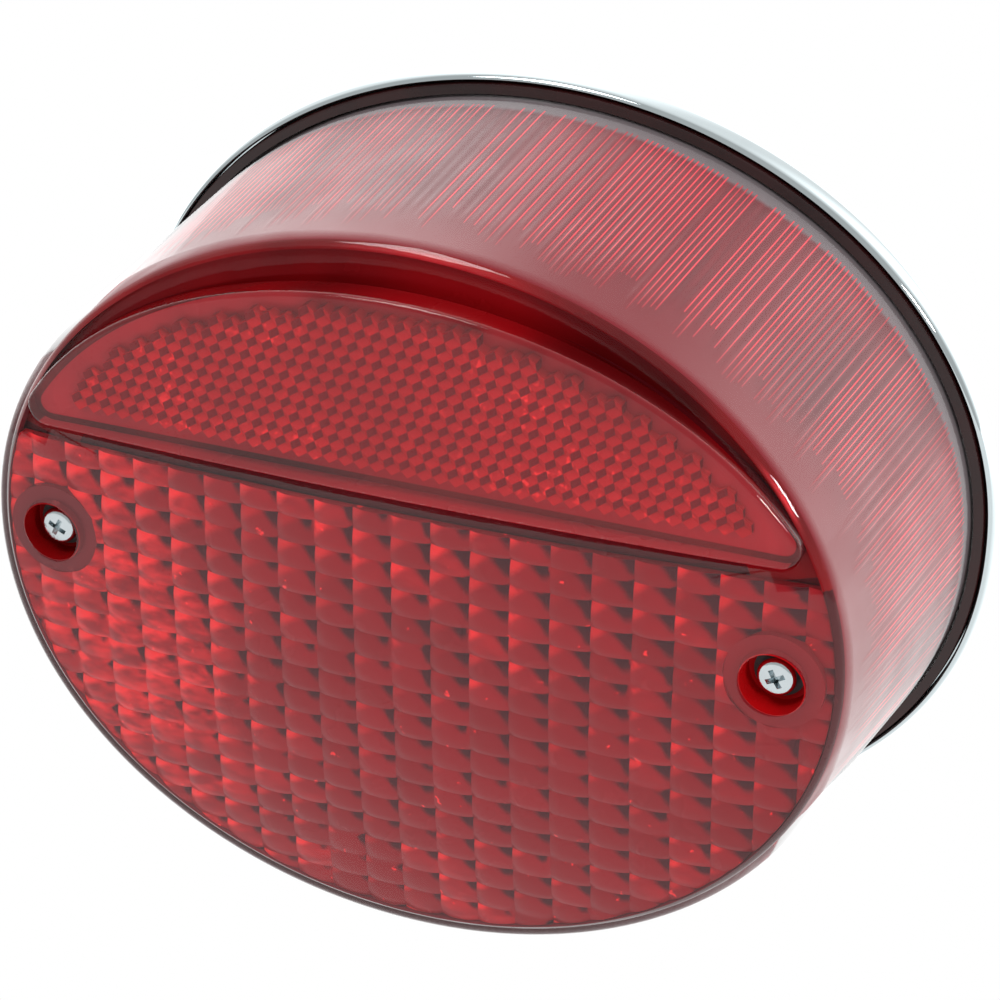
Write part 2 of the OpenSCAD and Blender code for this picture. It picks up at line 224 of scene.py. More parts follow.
class Groups:
    """Shader node groups that several finishes share."""

    _made: dict[str, bpy.types.NodeTree] = {}

    @classmethod
    def _start(
        cls, name: str, inputs: dict[str, float], output: str, kind: str
    ) -> tuple[Tree, dict, bpy.types.Node]:
        """Makes an empty group with float inputs and one output.

        Args:
            name: The group's name.
            inputs: Input names and default values.
            output: Name of the output.
            kind: Socket type of the output.

        Returns:
            The tree, its input sockets by name, and its output node.
        """
        group = bpy.data.node_groups.new(name, "ShaderNodeTree")
        for label, value in inputs.items():
            socket = group.interface.new_socket(label, in_out="INPUT", socket_type="NodeSocketFloat")
            socket.default_value = value
        group.interface.new_socket(output, in_out="OUTPUT", socket_type=kind)
        tree = Tree(group)
        source = tree.tree.nodes.new("NodeGroupInput")
        target = tree.tree.nodes.new("NodeGroupOutput")
        cls._made[name] = group
        return tree, {s.name: s for s in source.outputs if s.name}, target

    @classmethod
    def mottle(cls) -> bpy.types.NodeTree:
        """Cloudy variation of a value between Low and High.

        Returns:
            The group, made once.
        """
        if "mottle" not in cls._made:
            inputs = {"Scale": 60.0, "Low": 0.1, "High": 0.2}
            tree, given, out = cls._start("mottle", inputs, "Value", "NodeSocketFloat")
            cloud = tree.noise(tree.position(), given["Scale"], 4.0)
            mapped = tree.ramp(cloud, 0.3, 0.7, given["Low"], given["High"])
            tree.feed(out.inputs[0], mapped)
        return cls._made["mottle"]

    @classmethod
    def grain(cls) -> bpy.types.NodeTree:
        """Fine surface grain as a normal.

        Returns:
            The group, made once.
        """
        if "grain" not in cls._made:
            inputs = {"Scale": 900.0, "Strength": 0.05}
            tree, given, out = cls._start("grain", inputs, "Normal", "NodeSocketVector")
            height = tree.noise(tree.position(), given["Scale"], 3.0)
            bump = tree.add("Bump", Strength=given["Strength"], Distance=0.0004, Height=height)
            tree.feed(out.inputs[0], bump.outputs[0])
        return cls._made["grain"]

    @classmethod
    def scratches(cls) -> bpy.types.NodeTree:
        """Sparse hairline marks as a mask, from noise stretched one way.

        Returns:
            The group, made once.
        """
        if "scratches" not in cls._made:
            inputs = {"Scale": 300.0, "Amount": 0.5}
            tree, given, out = cls._start("scratches", inputs, "Mask", "NodeSocketFloat")
            lines = tree.noise(tree.stretched(1.0, 0.06, 0.35), given["Scale"], 2.0)
            mask = tree.math("MULTIPLY", tree.ramp(lines, 0.66, 0.72), given["Amount"])
            tree.feed(out.inputs[0], mask)
        return cls._made["scratches"]


class Dye:
    """Starts a material and feeds its Principled shader."""

    def __init__(self, name: str) -> None:
        """Makes a material with a Principled shader.

        Args:
            name: The material's name.
        """
        self.material = bpy.data.materials.new(name)
        self.material.use_nodes = True
        self.tree = Tree(self.material.node_tree)
        self.shader = self.material.node_tree.nodes["Principled BSDF"]

    def set(self, **sockets: object) -> "Dye":
        """Sets or links sockets of the shader, by name with _ for a space.

        Args:
            sockets: Values or sockets, by input name.

        Returns:
            The dye itself.
        """
        for name, value in sockets.items():
            value = rgba(value) if name == "Base_Color" and isinstance(value, tuple) else value
            self.tree.feed(self.shader.inputs[name.replace("_", " ")], value)
        return self

    def group(self, group: bpy.types.NodeTree, **inputs: float) -> bpy.types.NodeSocket:
        """Places a shared group and returns its output.

        Args:
            group: The shared group.
            inputs: Its input values, by name.

        Returns:
            The output socket.
        """
        node = self.tree.add("Group", {"node_tree": group})
        for name, value in inputs.items():
            self.tree.feed(node.inputs[name], value)
        return node.outputs[0]


# ---------------------------------------------------------------------------
# Finishes
# ---------------------------------------------------------------------------


@dataclass(frozen=True)
class Metal:
    """A plated or bare metal, with cloudy gloss and hairline marks."""

    name: str
    colour: Colour
    worn: Colour
    gloss: tuple[float, float] = (0.05, 0.12)
    grain: float = 0.03
    grain_scale: float = 1200.0
    marks: float = 0.4

    def build(self) -> bpy.types.Material:
        """Makes the material.

        Returns:
            The material.
        """
        dye = Dye(self.name)
        marks = dye.group(Groups.scratches(), Scale=260.0, Amount=self.marks)
        dye.set(
            Base_Color=dye.tree.blend(marks, self.colour, self.worn),
            Metallic=1.0,
            Roughness=dye.group(Groups.mottle(), Scale=70.0, Low=self.gloss[0], High=self.gloss[1]),
            Normal=dye.group(Groups.grain(), Scale=self.grain_scale, Strength=self.grain),
        )
        return dye.material


@dataclass(frozen=True)
class Moulded:
    """Rubber, fibre or plain plastic: a dull body with a cloudy tone."""

    name: str
    colour: Colour
    faded: Colour
    gloss: tuple[float, float] = (0.45, 0.65)
    grain: float = 0.25
    grain_scale: float = 1600.0

    def build(self) -> bpy.types.Material:
        """Makes the material.

        Returns:
            The material.
        """
        dye = Dye(self.name)
        cloud = dye.group(Groups.mottle(), Scale=45.0, Low=0.0, High=1.0)
        dye.set(
            Base_Color=dye.tree.blend(cloud, self.colour, self.faded),
            Roughness=dye.group(Groups.mottle(), Scale=90.0, Low=self.gloss[0], High=self.gloss[1]),
            Normal=dye.group(Groups.grain(), Scale=self.grain_scale, Strength=self.grain),
        )
        return dye.material


@dataclass(frozen=True)
class Glass:
    """Clear glass or acrylic."""

    name: str
    colour: Colour
    ior: float = 1.49
    gloss: tuple[float, float] = (0.0, 0.02)

    def build(self) -> bpy.types.Material:
        """Makes the material.

        Returns:
            The material.
        """
        dye = Dye(self.name)
        cloud = dye.group(Groups.mottle(), Scale=120.0, Low=self.gloss[0], High=self.gloss[1])
        tone = dye.group(Groups.mottle(), Scale=30.0, Low=0.0, High=1.0)
        tint = dye.tree.blend(tone, self.colour, tuple(0.97 * c for c in self.colour))
        dye.set(Base_Color=tint, Roughness=cloud, Transmission_Weight=1.0, IOR=self.ior)
        return dye.material


@dataclass(frozen=True)
class PolishedSkin:
    """The smooth outer surface of the red plastic. It mirrors a share of what Fresnel's law gives
    and is clear otherwise, so that the moulded optics behind it show."""

    name: str
    gloss: tuple[float, float] = (0.02, 0.05)
    share: float = 1.0
    inner: Colour = (0.07, 0.003, 0.005)
    ior: float = 1.49

    def build(self) -> bpy.types.Material:
        """Makes the material. Seen directly from within, it is the far side's dark red.

        Returns:
            The material.
        """
        dye = Dye(self.name)
        tree = dye.tree
        back = tree.add("NewGeometry").outputs["Backfacing"]
        front = tree.math("SUBTRACT", 1.0, back)
        seen_within = tree.math("MULTIPLY", back, tree.add("LightPath").outputs["Is Camera Ray"])
        fresnel = tree.math("MULTIPLY", tree.add("Fresnel", IOR=self.ior).outputs[0], self.share)
        mirror = tree.math("MULTIPLY", fresnel, front)
        dye.set(
            Base_Color=tree.blend(back, (1.0, 1.0, 1.0), self.inner),
            Metallic=front,
            Roughness=dye.group(Groups.mottle(), Scale=55.0, Low=self.gloss[0], High=self.gloss[1]),
            Normal=dye.group(Groups.grain(), Scale=160.0, Strength=0.02),
            Alpha=tree.math("ADD", mirror, seen_within),
        )
        return dye.material


class Optic(Enum):
    """The kinds of moulded relief on the inner side of the red plastic."""

    WALL = "wall"
    FLUTES = "flutes"
    PILLOWS = "pillows"
    PRISMS = "prisms"
    PLAIN = "plain"


@dataclass(frozen=True)
class RedOptic:
    """Deep red plastic seen from outside against its moulded inner relief."""

    name: str
    kind: Optic
    dark: Colour
    middle: Colour
    bright: Colour = (1.0, 0.025, 0.03)
    gloss: tuple[float, float] = (0.15, 0.3)
    sheen: Colour = (1.0, 0.03, 0.05)
    origin: Triple = (0.0, 0.0, 18.1)
    cell: Triple = (7.2, 400.0, 4.8)
    shoulder: tuple[float, float] = (0.74, 0.84)
    shine: float = 0.5
    face_fade: tuple[float, float] = (-0.066, -0.086)
    # The grey near the seat is a painted reflection of the white room; the next two fields give where it
    # fades in and its colour.
    seat_fade: tuple[float, float] = (-0.0362, -0.0345)
    seat_tone: Colour = (0.20, 0.17, 0.18)

    def build(self) -> bpy.types.Material:
        """Makes the material.

        Returns:
            The material.
        """
        dye = Dye(self.name)
        dye.set(
            Base_Color=self._tone(dye.tree),
            Roughness=dye.group(Groups.mottle(), Scale=80.0, Low=self.gloss[0], High=self.gloss[1]),
            Normal=dye.group(Groups.grain(), Scale=500.0, Strength=0.05),
            Specular_IOR_Level=self.shine,
            Specular_Tint=rgba(self.sheen),
        )
        return dye.material

    def _tone(self, tree: Tree) -> bpy.types.NodeSocket:
        """The colour pattern of this kind of relief; all but the plain kind paint in shade, highlights or a
        reflection.

        Args:
            tree: The material's tree.

        Returns:
            The colour socket.
        """
        patterns: dict[Optic, Callable[[Tree], bpy.types.NodeSocket]] = {
            Optic.WALL: self._wall,
            Optic.FLUTES: self._flutes,
            Optic.PILLOWS: self._pillows,
            Optic.PRISMS: self._prisms,
            Optic.PLAIN: self._plain,
        }
        return patterns[self.kind](tree)

    def _depth(self, tree: Tree) -> bpy.types.NodeSocket:
        """Y of the point, in metres."""
        return tree.add("SeparateXYZ", Vector=tree.position()).outputs["Y"]

    def _wall(self, tree: Tree) -> bpy.types.NodeSocket:
        """Grey at the seat as a painted reflection, dark between the flutes, even red towards the face.

        Args:
            tree: The material's tree.

        Returns:
            The colour socket.
        """
        depth = self._depth(tree)
        broad = tree.noise(tree.stretched(1.0, 0.1, 1.0), 42.0, 2.0)
        streak = tree.noise(tree.stretched(1.0, 0.02, 1.0), 900.0, 1.0)
        cloudy = tree.math("MULTIPLY", tree.ramp(broad, 0.35, 0.65), tree.ramp(streak, 0.3, 0.7, 0.55, 1.0))
        fluted = tree.blend(cloudy, self.dark, self.middle)
        fronted = tree.blend(tree.ramp(depth, *self.face_fade), fluted, self.bright)
        # Painted reflection: the wall turns grey in a narrow band at the seat.
        return tree.blend(tree.ramp(depth, *self.seat_fade), fronted, self.seat_tone)

    def _flutes(self, tree: Tree) -> bpy.types.NodeSocket:
        """Painted highlights on the lit ridges, which fade in and out along Y.

        Args:
            tree: The material's tree.

        Returns:
            The colour socket.
        """
        broad = tree.noise(tree.stretched(1.0, 0.35, 1.0), 70.0, 2.0)
        # Painted highlight: the lit flanks are brighter in broad patches.
        lit = tree.blend(tree.ramp(broad, 0.3, 0.55), self.middle, self.bright)
        fade = tree.ramp(self._depth(tree), *self.face_fade)
        return tree.blend(fade, lit, self.dark)

    def _pillows(self, tree: Tree) -> bpy.types.NodeSocket:
        """Cells, each with its own tone; painted shade on the shoulder up and right, painted light on the one
        up and left.

        Args:
            tree: The material's tree.

        Returns:
            The colour socket.
        """
        # Painted shade on the shoulder that faces up and right.
        dark = tree.ramp(tree.leaning((0.75, -0.75, 0.65)), *self.shoulder)
        shifted = tree.add("VectorMath", {"operation": "SUBTRACT"})
        tree.feed(shifted.inputs[0], tree.position())
        tree.feed(shifted.inputs[1], tuple(c * MM for c in self.origin))
        cells = tree.add("VectorMath", {"operation": "SNAP"})
        tree.feed(cells.inputs[0], shifted.outputs[0])
        tree.feed(cells.inputs[1], tuple(c * MM for c in self.cell))
        chance = tree.add("TexWhiteNoise", Vector=cells.outputs[0]).outputs[0]
        across = tree.add("SeparateXYZ", Vector=tree.position()).outputs["X"]
        # More painted lit patches towards the left.
        leftward = tree.ramp(across, 0.03, -0.07, 0.0, 0.3)
        broad = tree.math("ADD", tree.noise(tree.position(), 22.0, 2.0), leftward)
        patch = tree.math("ADD", tree.math("MULTIPLY", chance, 0.25), broad)
        fine = tree.noise(tree.stretched(1.0, 1.0, 2.2), 210.0, 2.0)
        # Painted light: lit patches over the cells.
        lit = tree.math("MULTIPLY", tree.ramp(patch, 0.68, 1.25), tree.ramp(fine, 0.3, 0.75))
        # Painted highlight on the shoulder that faces up and left.
        upper_left = tree.ramp(tree.leaning((-0.45, -0.8, 0.5)), 0.86, 0.95)
        crest = tree.math("MULTIPLY", upper_left, tree.ramp(patch, 0.5, 0.9))
        middle = tree.blend(chance, tuple(0.78 * c for c in self.middle), self.middle)
        lit_cells = tree.blend(tree.math("ADD", lit, crest, True), middle, self.bright)
        # Painted glints.
        glint = tree.ramp(tree.noise(tree.position(), 420.0, 4.0), 0.68, 0.73)
        return tree.blend(dark, tree.blend(glint, lit_cells, self.bright), self.dark)

    def _prisms(self, tree: Tree) -> bpy.types.NodeSocket:
        """Corner prisms with painted shade on one facet of three and painted glints in faint cloudy patches.

        Args:
            tree: The material's tree.

        Returns:
            The colour socket.
        """
        # Painted shade on the facet that faces right and down.
        shade = tree.ramp(tree.leaning((0.866, 0.0, -0.5)), 0.05, 0.3)
        patch = tree.noise(tree.position(), 55.0, 3.0)
        glint = tree.noise(tree.position(), 520.0, 2.0)
        ground = tree.blend(tree.ramp(patch, 0.3, 0.7), tuple(0.8 * c for c in self.middle), self.middle)
        # Painted glints within the patches.
        lit = tree.math("MULTIPLY", tree.ramp(glint, 0.58, 0.66), tree.ramp(patch, 0.4, 0.65))
        return tree.blend(shade, tree.blend(lit, ground, self.bright), self.dark)

    def _plain(self, tree: Tree) -> bpy.types.NodeSocket:
        """Even plastic with a slow change of tone."""
        cloud = tree.noise(tree.position(), 26.0, 2.0)
        return tree.blend(tree.ramp(cloud, 0.35, 0.65), self.dark, self.middle)


@dataclass(frozen=True)
class Palette:
    """Every finish of the lamp."""

    skin: PolishedSkin = PolishedSkin("lens_skin")
    ledge_skin: PolishedSkin = PolishedSkin("lens_ledge_skin", share=0.3)
    # The wall's grey at the seat, from the default seat colour, is a painted reflection.
    wall: RedOptic = RedOptic(
        "lens_wall", Optic.WALL, (0.08, 0.005, 0.010), (0.22, 0.007, 0.016), (0.20, 0.006, 0.014), (0.3, 0.45)
    )
    # Painted highlights on the lit flanks of the flutes.
    flutes: RedOptic = RedOptic(
        "lens_flutes",
        Optic.FLUTES,
        (0.20, 0.006, 0.014),
        (0.50, 0.012, 0.03),
        (1.0, 0.05, 0.08),
        (0.3, 0.45),
        face_fade=(-0.066, -0.088),
    )
    # Painted shade and highlights on the pillow cells, from the way each part faces.
    pillows: RedOptic = RedOptic("lens_pillows", Optic.PILLOWS, (0.04, 0.008, 0.011), (0.31, 0.005, 0.011))
    # Painted shade on one facet of three and painted glints.
    prisms: RedOptic = RedOptic(
        "reflector_prisms", Optic.PRISMS, (0.21, 0.004, 0.008), (0.56, 0.006, 0.012), shine=0.0
    )
    plain: RedOptic = RedOptic("lens_plain", Optic.PLAIN, (0.38, 0.008, 0.016), (0.5, 0.009, 0.018))
    # Painted shade along the edge of the face.
    border: RedOptic = RedOptic("lens_border", Optic.PLAIN, (0.02, 0.003, 0.004), (0.05, 0.004, 0.006))
    ledge: RedOptic = RedOptic("lens_ledge", Optic.PLAIN, (0.09, 0.002, 0.003), (0.26, 0.003, 0.005))
    pocket: RedOptic = RedOptic("screw_pocket", Optic.PLAIN, (0.22, 0.002, 0.003), (0.55, 0.004, 0.006))
    boss: RedOptic = RedOptic("screw_boss", Optic.PLAIN, (0.13, 0.009, 0.013), (0.26, 0.008, 0.013))
    flange: Moulded = Moulded("lens_flange", (0.014, 0.003, 0.003), (0.03, 0.004, 0.004), (0.2, 0.3), 0.02)
    chrome: Metal = Metal(
        "chrome_plate", (0.69, 0.77, 0.79), (0.62, 0.7, 0.72), (0.03, 0.08), 0.01, 700.0, marks=0.2
    )
    zinc: Metal = Metal("zinc_plate", (0.62, 0.64, 0.65), (0.5, 0.5, 0.5), (0.22, 0.34), 0.12)
    screw: Metal = Metal("bright_zinc", (0.66, 0.72, 0.74), (0.34, 0.38, 0.40), (0.08, 0.2), 0.12)
    spring: Metal = Metal("spring_wire", (0.42, 0.42, 0.43), (0.3, 0.3, 0.3), (0.25, 0.4), 0.05)
    bright: Metal = Metal("bright_plate", (0.86, 0.86, 0.85), (0.75, 0.75, 0.74), (0.12, 0.2), 0.04)
    brass: Metal = Metal("brass", (0.72, 0.52, 0.22), (0.5, 0.36, 0.16), (0.2, 0.35), 0.08)
    tungsten: Metal = Metal("filament_wire", (0.35, 0.35, 0.36), (0.25, 0.25, 0.26), (0.3, 0.45), 0.05)
    rubber: Moulded = Moulded("black_rubber", (0.018, 0.018, 0.019), (0.035, 0.035, 0.036))
    nylon: Moulded = Moulded("black_nylon", (0.025, 0.025, 0.027), (0.04, 0.04, 0.042), (0.3, 0.42), 0.1)
    fibre: Moulded = Moulded("brown_fibre", (0.20, 0.10, 0.04), (0.28, 0.15, 0.07), (0.5, 0.7), 0.3, 900.0)
    glass: Glass = Glass("bulb_glass", (0.97, 0.98, 0.98), 1.46)
    acrylic: Glass = Glass("clear_acrylic", (0.95, 0.97, 0.97))

    def build(self) -> dict[str, bpy.types.Material]:
        """Makes every material, by field name."""
        return {name: getattr(self, name).build() for name in self.__dataclass_fields__}


# ---------------------------------------------------------------------------
# Mesh helpers
# ---------------------------------------------------------------------------


def placed(name: str, data: bpy.types.ID) -> bpy.types.Object:
    """Puts an object with this data in the scene.

    Args:
        name: The object's name.
        data: Its mesh, camera or light.

    Returns:
        The object.
    """
    obj = bpy.data.objects.new(name, data)
    bpy.context.scene.collection.objects.link(obj)
    return obj


class Patch:
    """Points and faces in millimetres, with a material index for each face."""

    def __init__(self) -> None:
        """Starts an empty patch."""
        self.points: list[np.ndarray] = []
        self.faces: list[list[int]] = []
        self.material: list[int] = []
        self.count = 0

    def add_points(self, points: np.ndarray) -> int:
        """Adds points and returns the index of the first.

        Args:
            points: The points, three numbers each.

        Returns:
            Index of the first point.
        """
        first = self.count
        self.points.append(np.asarray(points, float).reshape(-1, 3))
        self.count += len(self.points[-1])
        return first

    def add_face(self, face: Sequence[int], material: int = 0) -> None:
        """Adds one face."""
        self.faces.append(list(face))
        self.material.append(material)

    def strip(self, a: int, b: int, n: int, material: int) -> None:
        """Joins two rings of n points with quads.

        Args:
            a: First point of one ring.
            b: First point of the other.
            n: Points in each ring.
            material: Material index.
        """
        for i in range(n):
            j = (i + 1) % n
            self.add_face((a + i, a + j, b + j, b + i), material)

    def fan(self, ring: int, n: int, tip: int, material: int, flip: bool = False) -> None:
        """Closes a ring of n points with triangles to a tip.

        Args:
            ring: First point of the ring.
            n: Points in the ring.
            tip: The tip's index.
            material: Material index.
            flip: Turns the faces over.
        """
        for i in range(n):
            j = (i + 1) % n
            self.add_face((ring + j, ring + i, tip) if flip else (ring + i, ring + j, tip), material)

    def loft(
        self,
        rings: Sequence[np.ndarray],
        materials: Optional[Sequence[int]] = None,
        tips: tuple[Optional[Sequence[float]], Optional[Sequence[float]]] = (None, None),
        wrap: bool = False,
    ) -> None:
        """Skins rings of equal length.

        Args:
            rings: The rings, each an array of points.
            materials: Material index of each band between rings, 0 if left out.
            tips: Points that close the first and the last ring.
            wrap: Joins the last ring to the first, as on a gasket.
        """
        n = len(rings[0])
        starts = [self.add_points(r) for r in rings]
        bands = list(zip(starts, starts[1:])) + ([(starts[-1], starts[0])] if wrap else [])
        given = list(materials or [0] * len(bands))
        for (a, b), m in zip(bands, given):
            self.strip(a, b, n, m)
        if tips[0] is not None:
            self.fan(starts[0], n, self.add_points([tips[0]]), given[0], flip=True)
        if tips[1] is not None:
            self.fan(starts[-1], n, self.add_points([tips[1]]), given[-1])

    def build(
        self, name: str, materials: Sequence[bpy.types.Material], smooth: float = SMOOTH
    ) -> bpy.types.Object:
        """Makes the mesh object.

        Args:
            name: The piece's name.
            materials: Its materials, in the order of the material indices.
            smooth: Edges sharper than this many degrees stay sharp.

        Returns:
            The object, linked to the scene.
        """
        mesh = bpy.data.meshes.new(name)
        points = np.concatenate(self.points) * MM
        mesh.from_pydata(points.tolist(), [], self.faces)
        for m in materials:
            mesh.materials.append(m)
        mesh.polygons.foreach_set("material_index", self.material)
        tidy_normals(mesh, smooth)
        return placed(name, mesh)


def tidy_normals(mesh: bpy.types.Mesh, smooth: float) -> None:
    """Turns every normal outwards and shades smooth up to an angle.

    Args:
        mesh: The mesh.
        smooth: The angle in degrees.
    """
    work = bmesh.new()
    work.from_mesh(mesh)
    bmesh.ops.recalc_face_normals(work, faces=work.faces[:])
    work.to_mesh(mesh)
    work.free()
    mesh.polygons.foreach_set("use_smooth", [True] * len(mesh.polygons))
    mesh.set_sharp_from_angle(angle=math.radians(smooth))
    mesh.update()


def cut(
    target: bpy.types.Object, cutter: bpy.types.Object, operation: str = "DIFFERENCE", smooth: float = SMOOTH
) -> None:
    """Cuts a mesh with another one, which is used up.

    Args:
        target: The mesh to cut.
        cutter: The closed cutting mesh.
        operation: DIFFERENCE or INTERSECT.
        smooth: Shading angle afterwards, in degrees.
    """
    modifier = target.modifiers.new("cut", "BOOLEAN")
    modifier.operation = operation
    modifier.solver = "MANIFOLD"
    modifier.object = cutter
    depsgraph = bpy.context.evaluated_depsgraph_get()
    mesh = bpy.data.meshes.new_from_object(target.evaluated_get(depsgraph))
    target.modifiers.clear()
    before = target.data
    if len(mesh.polygons) == 0:
        LOG.warning("cut of %s left nothing, so it was skipped", target.name)
        bpy.data.meshes.remove(mesh)
    else:
        target.data = mesh
        mesh.name = before.name
        tidy_normals(mesh, smooth)
    bpy.data.objects.remove(cutter)


def circle(
    radius: object, y: float, angle: np.ndarray, centre: tuple[float, float] = (0.0, 0.0)
) -> np.ndarray:
    """A level ring about a line along Y, with its own radius at each angle if an array is given."""
    x, z = centre
    return np.stack([x + radius * np.cos(angle), np.full(len(angle), y), z + radius * np.sin(angle)], -1)


def turned(
    name: str,
    profile: Sequence[tuple[float, float]],
    materials: Sequence[bpy.types.Material],
    centre: tuple[float, float] = (0.0, 0.0),
    bands: Optional[Sequence[int]] = None,
    sides: int = 64,
    wrap: bool = False,
) -> bpy.types.Object:
    """Makes a turned piece about a line along Y.

    Args:
        name: The piece's name.
        profile: (radius, y) points; a radius of 0 at an end closes it with a tip.
        materials: The materials.
        centre: X and Z of the axis.
        bands: Material index of each band.
        sides: Points round the ring.
        wrap: Joins the profile's ends, as on a tube.

    Returns:
        The object.
    """
    x, z = centre
    angle = np.linspace(0, 2 * np.pi, sides, endpoint=False)
    tips: list[Optional[list[float]]] = [None, None]
    body = list(profile)
    if body[0][0] == 0:
        tips[0] = [x, body.pop(0)[1], z]
    if body[-1][0] == 0:
        tips[1] = [x, body.pop()[1], z]
    patch = Patch()
    patch.loft([circle(r, y, angle, centre) for r, y in body], bands, (tips[0], tips[1]), wrap)
    return patch.build(name, materials)


def bore(
    target: bpy.types.Object,
    centre: tuple[float, float],
    radius: float,
    span: tuple[float, float],
    smooth: float = SMOOTH,
) -> None:
    """Cuts a round hole along Y.

    Args:
        target: The mesh to cut.
        centre: X and Z of the hole.
        radius: The hole's radius.
        span: First and last y of the cut.
        smooth: Shading angle afterwards, in degrees.
    """
    profile = [(0, span[0]), (radius, span[0]), (radius, span[1]), (0, span[1])]
    cut(target, turned("bore", profile, [], centre), smooth=smooth)


def block(name: str, low: Sequence[float], high: Sequence[float]) -> bpy.types.Object:
    """A closed box between two corners in millimetres.

    Args:
        name: The object's name.
        low: Lowest corner.
        high: Highest corner.

    Returns:
        The object.
    """
    patch = Patch()
    corners = [(x, y, z) for x in (low[0], high[0]) for y in (low[1], high[1]) for z in (low[2], high[2])]
    patch.add_points(corners)
    for face in ((0, 1, 3, 2), (4, 6, 7, 5), (0, 4, 5, 1), (2, 3, 7, 6), (0, 2, 6, 4), (1, 5, 7, 3)):
        patch.add_face(face)
    return patch.build(name, [])


def arc(
    centre: tuple[float, float], radius: float, start: float, end: float, steps: int
) -> list[tuple[float, float]]:
    """Points of an arc in a profile, with angles in degrees from the first axis."""
    angles = np.radians(np.linspace(start, end, steps + 1))
    return [(centre[0] + radius * math.cos(a), centre[1] + radius * math.sin(a)) for a in angles]


def threaded(
    radius: float, depth: float, pitch: float, start: float, end: float, sides: int
) -> list[np.ndarray]:
    """Rings of a screw thread along Y, from start to end.

    Args:
        radius: Crest radius.
        depth: Depth of the thread.
        pitch: Advance for each turn.
        start: First y.
        end: Last y.
        sides: Points round each ring.

    Returns:
        The rings, about the origin.
    """
    angle = np.linspace(0, 2 * np.pi, sides, endpoint=False)
    rings = []
    for y in np.arange(start, end, pitch / 5):
        phase = (y / pitch - angle / (2 * np.pi)) % 1.0
        fade = min(1.0, (end - y) / pitch, (y - start) / pitch + 0.2)
        point = max(0.0, 1 - (end - y) / pitch)
        r = radius - depth * (1 - np.abs(2 * phase - 1)) * fade - depth * point * 0.8
        rings.append(circle(r, y, angle))
    return rings


# ---------------------------------------------------------------------------
# The lamp's form
# ---------------------------------------------------------------------------


